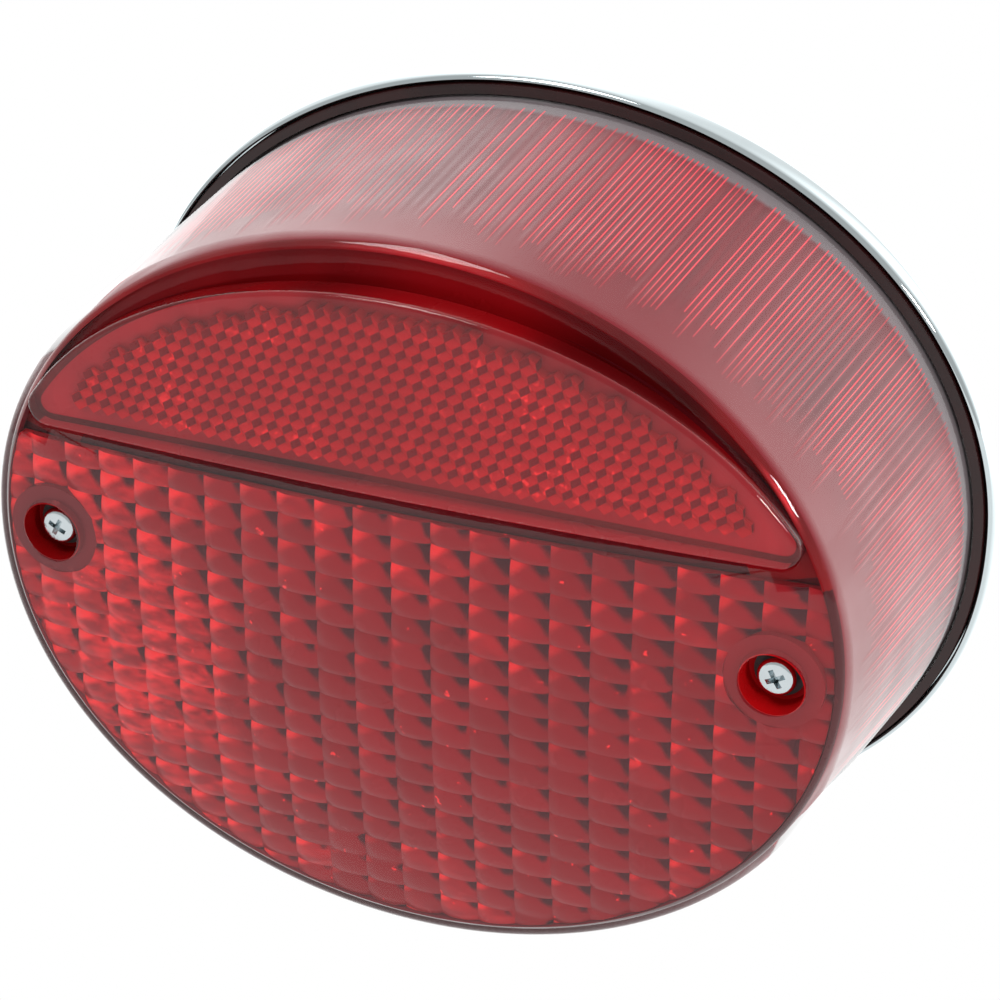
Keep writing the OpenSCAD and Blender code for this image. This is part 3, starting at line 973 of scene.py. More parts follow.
@dataclass
class Form:
    """The ovals and surfaces that the lens, the rim and the base share, in millimetres."""

    seat_y: float = -31.0
    depth: float = 68.3
    face_half_w: float = 80.0
    face_top: float = 64.6
    face_bottom: float = 66.4
    seat_half_w: float = 83.2
    seat_half_h: float = 71.1
    seat_drop: float = 3.3
    seat_square: float = 2.15
    edge_r: float = 3.8
    wall: float = 2.8
    slope: float = 0.06
    crown_x: float = 4.1
    crown_z: float = 4.3
    crown_half_w: float = 80.0
    crown_half_h: float = 60.0
    reflector_sunk: float = 2.6
    reflector_crown: float = 1.9
    reflector_half_w: float = 66.0
    flange_over: float = 2.07
    flange_t: float = 2.0
    chord_z: float = 20.5
    arc_half_w: float = 79.0
    arc_top: float = 57.0
    screw_x: float = 67.5
    pocket_r: float = 5.6

    @classmethod
    def from_frame(cls) -> "Form":
        """Takes the form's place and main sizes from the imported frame.

        Returns:
            The form.
        """
        form = cls()
        low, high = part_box("lens_body")
        form.seat_y = high.y / MM - form.flange_t
        form.seat_half_w = (high.x - low.x) / 2 / MM - form.flange_over
        form.seat_half_h = (high.z - low.z) / 2 / MM - form.flange_over
        form.seat_drop = -(high.z + low.z) / 2 / MM
        reflector_low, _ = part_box("reflex_reflector")
        form.chord_z = reflector_low.z / MM
        screw_low, screw_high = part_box("lens_screw_right")
        form.screw_x = (screw_low.x + screw_high.x) / 2 / MM
        return form

    @staticmethod
    def oval(
        angle: np.ndarray, half_w: float, top: float, bottom: float, drop: float = 0.0, low: float = 2.0
    ) -> np.ndarray:
        """An oval whose halves above and below have their own height.

        Args:
            angle: Angles in radians.
            half_w: Half width.
            top: Height of the upper half.
            bottom: Height of the lower half.
            drop: How far the centre sits below the screw line.
            low: Squareness of the lower half, 2 for an ellipse.

        Returns:
            X and Z of each point.
        """
        c, s = np.cos(angle), np.sin(angle)
        power = np.where(s >= 0, 1.0, 2 / low)
        x = half_w * np.sign(c) * np.abs(c) ** power
        z = np.where(s >= 0, top, bottom) * np.sign(s) * np.abs(s) ** power - drop
        return np.stack([x, z], -1)

    def seat(self, angle: np.ndarray, grow: float = 0.0) -> np.ndarray:
        """The seat's oval, grown outwards."""
        half_h = self.seat_half_h + grow
        return self.oval(angle, self.seat_half_w + grow, half_h, half_h, self.seat_drop, self.seat_square)

    def face(self, angle: np.ndarray, grow: float = 0.0) -> np.ndarray:
        """The face's oval, grown outwards."""
        return self.oval(angle, self.face_half_w + grow, self.face_top + grow, self.face_bottom + grow)

    def face_y(self, x: np.ndarray, z: np.ndarray) -> np.ndarray:
        """Level of the lens face, with its slope and crown."""
        crown = self.crown_x * (x / self.crown_half_w) ** 2 + self.crown_z * (z / self.crown_half_h) ** 2
        return self.seat_y - self.depth + self.slope * z + crown

    def reflector_y(self, x: np.ndarray) -> np.ndarray:
        """Level of the reflector's face."""
        crown = self.reflector_crown * (x / self.reflector_half_w) ** 2
        return self.seat_y - self.depth + self.reflector_sunk + crown

    @staticmethod
    def ring(points: np.ndarray, y: object) -> np.ndarray:
        """A ring of 3-D points from X and Z at a level."""
        return np.stack([points[:, 0], np.broadcast_to(y, len(points)), points[:, 1]], -1)

    def seat_ring(self, angle: np.ndarray, grow: float, y: float) -> np.ndarray:
        """One level ring that follows the seat's oval."""
        return self.ring(self.seat(angle, grow), y)

    def edge_ring(self, angle: np.ndarray, bend: float, grow: object = 0.0, back: float = 0.0) -> np.ndarray:
        """One ring of the rounded edge: bend 0 is the wall and bend 90 is the face.

        Args:
            angle: Angles in radians.
            bend: 0 to 90 degrees round the edge.
            grow: How far the ring is grown outwards.
            back: How far it is moved back.

        Returns:
            The ring's points.
        """
        r = math.radians(bend)
        p = self.face(angle, grow - self.edge_r * (1 - math.cos(r)))
        q = self.face(angle, -self.edge_r)
        return self.ring(p, self.face_y(q[:, 0], q[:, 1]) + self.edge_r * (1 - math.sin(r)) + back)

    def face_ring(self, angle: np.ndarray, share: float, grow: float = 0.0, back: float = 0.0) -> np.ndarray:
        """One ring of the face, share of the way out to where the rounded edge starts."""
        p = share * self.face(angle, grow - self.edge_r)
        return self.ring(p, self.face_y(p[:, 0], p[:, 1]) + back)

    def reflector_outline(self, grow: float, count: int = 480, corner: float = 3.5) -> np.ndarray:
        """The reflector's outline: an elliptical arc over a chord, with round corners.

        Args:
            grow: How far the outline is grown outwards.
            count: Number of points.
            corner: Radius of the two corners.

        Returns:
            X and Z of each point, evenly spaced.
        """
        a, b = self.arc_half_w - corner, self.arc_top - corner
        start = math.asin((self.chord_z + corner) / b)
        sweep = np.linspace(start, math.pi - start, 400)
        core = np.stack([a * np.cos(sweep), b * np.sin(sweep)], -1)
        tangent = np.gradient(core, axis=0)
        normal = np.stack([tangent[:, 1], -tangent[:, 0]], -1)
        normal /= np.linalg.norm(normal, axis=1)[:, None]
        reach = corner + grow
        first, last = core[0], core[-1]
        angle_first = math.atan2(normal[0, 1], normal[0, 0])
        angle_last = math.atan2(normal[-1, 1], normal[-1, 0])
        right = np.linspace(-math.pi / 2, angle_first, 40)
        left = np.linspace(angle_last, 1.5 * math.pi, 40)
        path = np.concatenate([
            first + reach * np.stack([np.cos(right), np.sin(right)], -1),
            core + reach * normal,
            last + reach * np.stack([np.cos(left), np.sin(left)], -1),
        ])
        closed = np.concatenate([path, path[:1]])
        length = np.concatenate([[0], np.cumsum(np.linalg.norm(np.diff(closed, axis=0), axis=1))])
        at = np.linspace(0, length[-1], count, endpoint=False)
        return np.stack([np.interp(at, length, closed[:, k]) for k in (0, 1)], -1)


def prism(name: str, outline: np.ndarray, y0: float, y1: float) -> bpy.types.Object:
    """A closed prism along Y over an outline of X and Z.

    Args:
        name: The object's name.
        outline: X and Z of each point.
        y0: First end.
        y1: Other end.

    Returns:
        The object.
    """
    patch = Patch()
    centre = outline.mean(0)
    rings = [Form.ring(outline, y0), Form.ring(outline, y1)]
    patch.loft(rings, None, ((centre[0], y0, centre[1]), (centre[0], y1, centre[1])))
    return patch.build(name, [])


# ---------------------------------------------------------------------------
# Lens
# ---------------------------------------------------------------------------


class ShellFinish(IntEnum):
    """Finishes of the lens shell, in the order of its material slots and by the palette's names."""

    SKIN = 0
    FLANGE = 1
    WALL = 2
    # Painted highlights on the lit flanks of the flutes.
    FLUTES = 3
    # Painted shade along the edge of the face.
    BORDER = 4
    LEDGE = 5
    LEDGE_SKIN = 6


@dataclass
class Lens:
    """The red lens: its shell, face optics, reflector, window and screw columns."""

    form: Form
    palette: dict[str, bpy.types.Material]
    flutes: int = 248
    gap: float = 1.1
    seat_gap: float = 0.4
    face_gap: float = 0.4
    face_grow: float = 1.25
    flute_points: int = 8
    flute_depth: float = 0.3
    fit: float = 0.02
    valley: float = 2.2
    valley_start: float = 3.0
    valley_run: float = 8.0
    ledge_half_w: float = 74.0
    ledge_half_h: float = 60.0
    pillow_w: float = 7.2
    pillow_h: float = 4.8
    pillow_rise: float = 0.95
    prism_pitch: float = 2.9
    prism_foot: float = 5.6
    prism_margin: tuple[float, float] = (5.5, 4.6)
    optics_back: float = 1.6
    optics_t: float = 1.9
    optics_inset: float = 2.65
    optics_drop: float = 3.2
    boss_r: float = 8.7
    reflector_back: float = 1.8
    reflector_edge_r: float = 0.9
    backing_inset: float = 1.4
    window_reach: float = 0.31
    relief_smooth: float = 24.0

    def build(self) -> list[bpy.types.Object]:
        """Builds every piece of the lens.

        Returns:
            The pieces.
        """
        return [
            self.shell(),
            self.face_optics(),
            self.reflector_face(),
            self.reflector_prisms(),
            self.backing(),
            self.window(),
            *(self.column(side) for side in SIDES),
        ]

    def shell(self) -> bpy.types.Object:
        """The cup: polished outside, dark flange and a finely fluted inside, on which light and shade are
        painted.

        Returns:
            The piece.
        """
        f = self.form
        n = self.flutes * self.flute_points
        angle = self._even_angles(n)
        outside = [
            f.seat_ring(angle, f.flange_over, f.seat_y + f.flange_t),
            f.seat_ring(angle, f.flange_over, f.seat_y + 0.5),
            f.seat_ring(angle, f.flange_over - 0.15, f.seat_y + 0.14),
            f.seat_ring(angle, f.flange_over - 0.5, f.seat_y),
            f.seat_ring(angle, 0.2, f.seat_y),
            f.seat_ring(angle, 0.06, f.seat_y - 0.06),
            f.seat_ring(angle, 0.0, f.seat_y - 0.2),
            *(f.edge_ring(angle, bend) for bend in np.linspace(0, 90, 9)),
            *(self._with_valley(f.face_ring(angle, share)) for share in (0.93, 0.8, 0.6, 0.4, 0.2, 0.07)),
        ]
        inside = self._inside_rings(angle)
        outer_bands = [ShellFinish.FLANGE] * 5 + [ShellFinish.SKIN] * (len(outside) - 5)
        inner_bands = [ShellFinish.WALL] * (len(inside) - 1)
        level = float(f.face_y(0.0, 0.0))
        tips = ((0.0, level + f.wall + self.face_gap, 0.0), (0.0, level, 0.0))
        patch = Patch()
        patch.loft([*inside[::-1], *outside], [*inner_bands, *outer_bands], tips)
        # Painted highlights on one or both flanks of each flute.
        self._light_ridges(patch, len(inner_bands))
        shell = patch.build("lens_shell", [self.palette[finish.name.lower()] for finish in ShellFinish])
        cut(shell, prism("reflector_cut", f.reflector_outline(0.1), f.seat_y - 90, f.seat_y - f.depth + 8.6))
        for side in SIDES:
            low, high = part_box("lens_screw_" + side)
            bore(shell, ((low.x + high.x) / 2 / MM, 0.0), f.pocket_r + self.fit, (-130, -80))
        low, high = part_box("licence_window")
        cut(shell, block("window_cut", (low.x / MM, low.y / MM, -95), (high.x / MM, high.y / MM, -50)))
        self._paint_face(shell)
        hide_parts("lens_body")
        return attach(shell, "lens")

    def _even_angles(self, count: int) -> np.ndarray:
        """Angles that are evenly spaced along the seat's oval.

        Args:
            count: Number of angles.

        Returns:
            The angles in radians.
        """
        fine = np.linspace(0, 2 * np.pi, 8001)
        steps = np.linalg.norm(np.diff(self.form.seat(fine), axis=0), axis=1)
        length = np.concatenate([[0.0], np.cumsum(steps)])
        return np.interp(np.linspace(0, length[-1], count, endpoint=False), length, fine)

    def _with_valley(self, ring: np.ndarray) -> np.ndarray:
        """Lowers a ring of the face above the chord, so that the ledge falls towards the reflector.

        Args:
            ring: Points of the ring, changed in place.

        Returns:
            The same ring.
        """
        above = np.clip((ring[:, 2] - self.form.chord_z - self.valley_start) / self.valley_run, 0, 1)
        ring[:, 1] += self.valley * above
        return ring

    def _flute_span(self) -> tuple[np.ndarray, np.ndarray, np.ndarray]:
        """Where each flute starts and ends, from 0 at the seat to 1 at the face, and its strength.

        Returns:
            Start, end and strength, each with one value for a flute.
        """
        rng = np.random.default_rng(7)
        start = rng.uniform(0.05, 0.065, self.flutes)
        end = rng.uniform(0.75, 0.93, self.flutes)
        window = np.ones(7) / 7
        wave = np.convolve(np.tile(rng.uniform(0, 1, self.flutes), 3), window, "same")
        wave = wave[self.flutes : 2 * self.flutes]
        strength = np.clip(0.6 + 2.6 * (wave - 0.5) + rng.uniform(-0.3, 0.3, self.flutes), 0, 1)
        return start, end, strength

    def _inside_steps(self) -> np.ndarray:
        """Steps of the inside rings from the seat to the face."""
        return np.concatenate([[0.0], np.linspace(0.03, 0.97, 40), [1.0]])

    def _inside_rings(self, angle: np.ndarray) -> list[np.ndarray]:
        """Rings of the inside, from the seat to the middle of the face.

        Args:
            angle: Angles round the oval.

        Returns:
            The rings.
        """
        f = self.form
        start, end, strength = (np.repeat(v, self.flute_points) for v in self._flute_span())
        ridge = 0.5 - 0.5 * np.cos(2 * np.pi * np.arange(len(angle)) / self.flute_points)
        rear = f.seat(angle, -self.seat_gap)
        front = f.edge_ring(angle, 0, -self.gap)
        out = np.stack([np.cos(angle), 0 * angle, np.sin(angle)], -1)
        rings = [f.ring(rear, f.seat_y + f.flange_t)]
        for t in self._inside_steps():
            rise = np.clip((t - start) / 0.03, 0, 1) * np.clip((end - t) / 0.06, 0, 1)
            inset = self.flute_depth * ridge * rise * (0.5 + 0.5 * strength)
            base = (1 - t) * f.ring(rear, f.seat_y) + t * front
            rings.append(base + out * inset[:, None])
        small = f.edge_r - self.gap
        for bend in np.radians((20, 40, 60)):
            p = f.face(angle, -self.gap - small * (1 - math.cos(bend)))
            q = f.face(angle, -f.edge_r)
            rings.append(f.ring(p, f.face_y(q[:, 0], q[:, 1]) + f.edge_r - small * math.sin(bend)))
        back = f.wall + self.face_gap
        rings += [f.face_ring(angle, s, self.face_grow, back) for s in (1.0, 0.85, 0.6, 0.35, 0.1)]
        return rings

    def _light_ridges(self, patch: Patch, bands: int) -> None:
        """Paints a highlight on one flank of each flute, and on both of a strong one, with the lit flutes
        material.

        Args:
            patch: The shell's patch, whose first bands are the inside.
            bands: Number of inside bands, the seat's last.
        """
        count = self.flutes * self.flute_points
        steps = self._inside_steps()
        for flute, (start, end, strength) in enumerate(zip(*self._flute_span())):
            if strength < 0.08:
                continue
            flanks = (1, 5) if strength > 0.4 else (1,)
            for step in range(len(steps) - 1):
                if not start < (steps[step] + steps[step + 1]) / 2 < end:
                    continue
                band = bands - 2 - step
                for column in flanks:
                    patch.material[band * count + flute * self.flute_points + column] = ShellFinish.FLUTES

    def _paint_face(self, shell: bpy.types.Object) -> None:
        """Gives the face's inner side the ledge's plain red above and painted shade elsewhere, and the ledge
        above the reflector a dimmer skin.

        Args:
            shell: The lens shell.
        """
        f = self.form
        limit = (f.seat_y - f.depth + 14.0) * MM
        for polygon in shell.data.polygons:
            x, _, z = (c / MM for c in polygon.center)
            outwards = (x / self.ledge_half_w) ** 2 + (z / self.ledge_half_h) ** 2 > 0.8
            above = z > f.chord_z - 3.0 and outwards
            facing = abs(polygon.normal.y) > 0.3 and polygon.center.y < limit
            if polygon.material_index == ShellFinish.WALL and facing:
                # Inner faces near the face: the ledge's red above, painted shade (the border) elsewhere.
                polygon.material_index = ShellFinish.LEDGE if above else ShellFinish.BORDER
            elif polygon.material_index == ShellFinish.SKIN and polygon.normal.y < -0.8 and above:
                polygon.material_index = ShellFinish.LEDGE_SKIN

    def face_optics(self) -> bpy.types.Object:
        """The pillow optics behind the lower part of the face.

        Returns:
            The piece.
        """
        f = self.form
        across, up = 10, 8
        columns = int(2 * f.face_half_w / self.pillow_w) + 2
        rows = int((f.chord_z + f.face_bottom) / self.pillow_h) + 2
        u = np.arange(columns * across + 1) / across - columns / 2
        v = np.arange(rows * up + 1) / up
        x = u * self.pillow_w
        z = f.chord_z - 2.4 - v * self.pillow_h
        gx, gz = np.meshgrid(x, z)
        gu, gv = np.meshgrid(u, v)
        cell_u = (gu % 1.0) * 2 - 1
        cell_v = (gv % 1.0) * 2 - 1
        rng = np.random.default_rng(11)
        column = np.clip(np.floor(gu + columns / 2).astype(int), 0, columns - 1)
        row = np.clip(np.floor(gv).astype(int), 0, rows - 1)
        jitter = rng.uniform(0.8, 1.2, (columns, rows))[column, row]
        dome = (1 - np.abs(cell_u) ** 2.6) * 0.62 + (1 - np.abs(cell_v) ** 2.6) * 0.38
        level = f.face_y(gx, gz) + self.optics_back - self.pillow_rise * (dome - 1) * jitter
        front = np.stack([gx, level, gz], -1)
        back = np.stack([gx, f.face_y(gx, gz) + self.optics_back + self.optics_t, gz], -1)
        slab = self._slab("face_optics", front, back, [self.palette["pillows"]])
        angle = np.linspace(0, 2 * np.pi, 360, endpoint=False)
        outline = f.face(angle, -self.optics_inset)
        outline[:, 1] = np.minimum(outline[:, 1], f.chord_z - self.optics_drop)
        trim = prism("optics_trim", outline, f.seat_y - 90, f.seat_y - 20)
        cut(slab, trim, "INTERSECT", self.relief_smooth)
        for sign in SIDES.values():
            bore(slab, (sign * f.screw_x, 0.0), self.boss_r - 0.05, (-130, -60), self.relief_smooth)
        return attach(slab, "lens")

    def _slab(
        self, name: str, front: np.ndarray, back: np.ndarray, materials: Sequence[bpy.types.Material]
    ) -> bpy.types.Object:
        """A closed slab between two grids of points of one shape.

        Args:
            name: The piece's name.
            front: Grid of front points.
            back: Grid of back points.
            materials: The materials.

        Returns:
            The object.
        """
        rows, columns = front.shape[:2]
        patch = Patch()
        a = patch.add_points(front.reshape(-1, 3))
        b = patch.add_points(back.reshape(-1, 3))
        for i in range(rows - 1):
            for j in range(columns - 1):
                k = i * columns + j
                patch.add_face((a + k, a + k + 1, a + k + columns + 1, a + k + columns))
                patch.add_face((b + k, b + k + columns, b + k + columns + 1, b + k + 1))
        rim = list(range(columns))
        rim += [i * columns + columns - 1 for i in range(1, rows)]
        rim += [(rows - 1) * columns + j for j in range(columns - 2, -1, -1)]
        rim += [i * columns for i in range(rows - 2, 0, -1)]
        for k, m in zip(rim, rim[1:] + rim[:1]):
            patch.add_face((a + k, b + k, b + m, a + m))
        return patch.build(name, materials, self.relief_smooth)

    def reflector_face(self) -> bpy.types.Object:
        """The smooth D-shaped face of the reflex reflector, with its rounded rim.

        Returns:
            The piece.
        """
        f = self.form
        radius = self.reflector_edge_r
        rear = f.seat_y - f.depth + 7.6
        outline = f.reflector_outline(0.0)
        middle = np.array([0.0, outline[:, 1].mean() + 2.0])
        rings = [f.ring(outline, rear)]
        for bend in np.radians(np.linspace(0, 90, 7)):
            p = f.reflector_outline(-radius * (1 - math.cos(bend)))
            rings.append(f.ring(p, f.reflector_y(p[:, 0]) + radius * (1 - math.sin(bend))))
        inner = f.reflector_outline(-radius)
        for share in (0.9, 0.75, 0.55, 0.35, 0.15):
            p = middle + share * (inner - middle)
            rings.append(f.ring(p, f.reflector_y(p[:, 0])))
        tips = ((middle[0], rear, middle[1]), (middle[0], float(f.reflector_y(middle[0])), middle[1]))
        skin, ledge, plain = range(3)
        patch = Patch()
        patch.loft(rings, [ledge, *[skin] * (len(rings) - 2)], tips)
        p = self.palette
        face = patch.build("reflector_face", [p["skin"], p["ledge"], p["plain"]])
        for polygon in face.data.polygons:
            if polygon.normal.y > 0.5:
                polygon.material_index = ledge
            elif polygon.normal.z < -0.9:
                polygon.material_index = plain
        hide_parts("reflex_reflector")
        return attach(face, "lens")

    def reflector_prisms(self) -> bpy.types.Object:
        """Hexagonal corner prisms behind the reflector's face.

        Returns:
            The piece.
        """
        f = self.form
        pitch = self.prism_pitch
        side = pitch / math.sqrt(3)
        depth = 0.42 * pitch
        patch = Patch()
        known: dict[tuple[int, int], int] = {}

        def vertex(x: float, z: float, lift: float) -> int:
            """Index of the vertex at x, z, made once.

            Args:
                x: X of the vertex.
                z: Z of the vertex.
                lift: How far it sits behind the level.

            Returns:
                The index.
            """
            key = (round(x * 50), round(z * 50))
            if key not in known:
                y = float(f.reflector_y(x)) + self.reflector_back + lift
                known[key] = patch.add_points([[x, y, z]])
            return known[key]

        half_w, half_h = f.arc_half_w - self.prism_margin[0], f.arc_top - self.prism_margin[1]
        rows = int((f.arc_top - f.chord_z) / (1.5 * side)) + 2
        for row in range(rows):
            z = f.chord_z + self.prism_foot + row * 1.5 * side
            for step in range(-32, 33):
                x = (step + 0.5 * (row % 2)) * pitch
                if (x / half_w) ** 2 + (z / half_h) ** 2 > 1:
                    continue
                tip = vertex(x, z, depth)
                rim = [
                    vertex(x + side * math.cos(t), z + side * math.sin(t), depth * (0.45 if k % 2 else 0.0))
                    for k, t in enumerate(math.radians(30 + 60 * k) for k in range(6))
                ]
                for k in range(0, 6, 2):
                    patch.add_face((tip, rim[k - 1], rim[k], rim[(k + 1) % 6]))
        prisms = patch.build("reflector_prisms", [self.palette["prisms"]], 5.0)
        self._close_behind(prisms, 1.5 * depth + 1.2)
        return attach(prisms, "lens")

    @staticmethod
    def _close_behind(sheet: bpy.types.Object, thickness: float) -> None:
        """Turns an open sheet into a closed slab that reaches back along +Y.

        Args:
            sheet: The sheet's object.
            thickness: How far back, in millimetres.
        """
        work = bmesh.new()
        work.from_mesh(sheet.data)
        level = max(v.co.y for v in work.verts) + thickness * MM * 0.3
        made = bmesh.ops.extrude_face_region(work, geom=work.faces[:] + work.edges[:] + work.verts[:])
        for item in made["geom"]:
            if isinstance(item, bmesh.types.BMVert):
                item.co.y = level
        work.to_mesh(sheet.data)
        work.free()
        tidy_normals(sheet.data, 5.0)

    def backing(self) -> bpy.types.Object:
        """The plate that seals the reflector from behind.

        Returns:
            The piece.
        """
        outline = self.form.reflector_outline(-self.backing_inset)
        low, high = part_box("reflex_backing")
        plate = prism("reflector_backing", outline, low.y / MM, high.y / MM)
        plate.data.materials.append(self.palette["plain"])
        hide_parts("reflex_backing")
        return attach(plate, "lens")

    def window(self) -> bpy.types.Object:
        """The clear window over the licence plate, in the underside of the wall.

        Returns:
            The piece.
        """
        f = self.form
        low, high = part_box("licence_window")
        start, end = (f.seat_y - high.y / MM) / f.depth, (f.seat_y - low.y / MM) / f.depth
        angle = np.linspace(1.5 * np.pi - self.window_reach, 1.5 * np.pi + self.window_reach, 41)
        front = f.edge_ring(angle, 0)
        outer, inner = [], []
        for t in np.linspace(start, end, 13):
            for grid, grow in ((outer, -0.05), (inner, -f.wall + 0.1)):
                shift = f.ring(f.face(angle, grow), 0) - f.ring(f.face(angle), 0)
                level = (1 - t) * f.ring(f.seat(angle, grow), f.seat_y) + t * (front + shift)
                level[:, 1] = f.seat_y - t * f.depth
                level[:, 0] = np.linspace(low.x / MM, high.x / MM, len(angle))
                grid.append(level)
        pane = [self.palette["acrylic"]]
        window = self._slab("licence_window_pane", np.array(outer), np.array(inner), pane)
        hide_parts("licence_window")
        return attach(window, "lens")

    def column(self, side: str) -> bpy.types.Object:
        """The screw column: bright pocket, dark boss ring and a hollow stem to the rear.

        Args:
            side: left or right.

        Returns:
            The piece.
        """
        f = self.form
        x = SIDES[side] * f.screw_x
        top = float(f.face_y(x, 0.0))
        _, seal_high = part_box("screw_seals")
        floor = seal_high.y / MM
        ring, end = top + self.optics_back - 0.2, f.seat_y - 16.0
        profile = [
            (2.3, floor),
            (f.pocket_r - 0.5, floor),
            (f.pocket_r - 0.12, floor - 0.15),
            (f.pocket_r, floor - 0.5),
            (f.pocket_r, top + 0.25),
            (f.pocket_r + 0.16, top + 0.34),
            (f.pocket_r + 0.5, ring),
            (self.boss_r, ring),
            (self.boss_r, ring + 2.5),
            (8.5, ring + 3.2),
            (8.5, end),
            (5.2, end),
            (5.0, end - 20.0),
            (2.3, end - 20.0),
        ]
        boss, pocket, plain = range(3)
        bands = [*[pocket] * 5, *[boss] * 3, *[plain] * 5, pocket]
        materials = [self.palette[name] for name in ("boss", "pocket", "plain")]
        column = turned("screw_column_" + side, profile, materials, (x, 0.0), bands, 96, wrap=True)
        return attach(column, "lens")


@dataclass
class LensScrews:
    """The two long M4 pan head screws with a cross recess."""

    palette: dict[str, bpy.types.Material]
    head_r: float = 3.4
    head_h: float = 2.6
    shank_r: float = 1.98
    pitch: float = 0.7
    thread_d: float = 0.35
    thread_l: float = 22.0
    sides: int = 48

    def build(self) -> list[bpy.types.Object]:
        """Builds both screws.

        Returns:
            The pieces.
        """
        return [self.screw(side) for side in SIDES]

    def screw(self, side: str) -> bpy.types.Object:
        """One screw: a domed head, a plain shank and a threaded end.

        Args:
            side: left or right.

        Returns:
            The piece.
        """
        low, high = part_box("lens_screw_" + side)
        x, z = (low.x + high.x) / 2 / MM, (low.z + high.z) / 2 / MM
        top, end = low.y / MM, high.y / MM
        seat = top + self.head_h
        round_r = 0.95
        crown = [(r, top + 0.5 * (r / self.head_r) ** 2) for r in (0.8, 1.6, 2.1)]
        edge = arc((self.head_r - round_r, top + 0.2 + round_r), round_r, -78, 0, 8)
        foot = [(self.head_r, seat - 0.12), (self.head_r - 0.12, seat), (self.shank_r, seat)]
        profile = [(0, top), *crown, *edge, *foot]
        angle = np.linspace(0, 2 * np.pi, self.sides, endpoint=False)
        rings = [circle(r, y, angle) for r, y in profile[1:]]
        rings += threaded(self.shank_r, self.thread_d, self.pitch, end - self.thread_l, end, self.sides)
        patch = Patch()
        patch.loft(rings, None, ((0, top, 0), (0, end - 0.05, 0)))
        screw = patch.build("screw_" + side, [self.palette["screw"]])
        recess_turn = math.radians(28 if side == "left" else 62)
        for quarter in (0, 1):
            cut(screw, self._wing(top, recess_turn + quarter * math.pi / 2))
        screw.data.transform(Matrix.Translation((x * MM, 0, z * MM)))
        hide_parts("lens_screw_" + side)
        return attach(screw, "screw_" + side)

    def _wing(self, top: float, turn: float) -> bpy.types.Object:
        """Half of the cross recess: a tapered slot through the middle.

        Args:
            top: Level of the head's top.
            turn: Angle about Y in radians.

        Returns:
            The cutting mesh.
        """
        patch = Patch()
        corners = [
            (x * half_w, top + depth, z * half_t)
            for half_w, depth, half_t in ((2.15, -0.5, 0.5), (0.8, 1.7, 0.35))
            for x, z in ((-1, -1), (1, -1), (1, 1), (-1, 1))
        ]
        patch.add_points(corners)
        for face in ((0, 1, 2, 3), (4, 7, 6, 5), (0, 4, 5, 1), (1, 5, 6, 2), (2, 6, 7, 3), (3, 7, 4, 0)):
            patch.add_face(face)
        wing = patch.build("cross_wing", [])
        wing.data.transform(Matrix.Rotation(turn, 4, "Y"))
        return wing


# ---------------------------------------------------------------------------
# Base
# ---------------------------------------------------------------------------


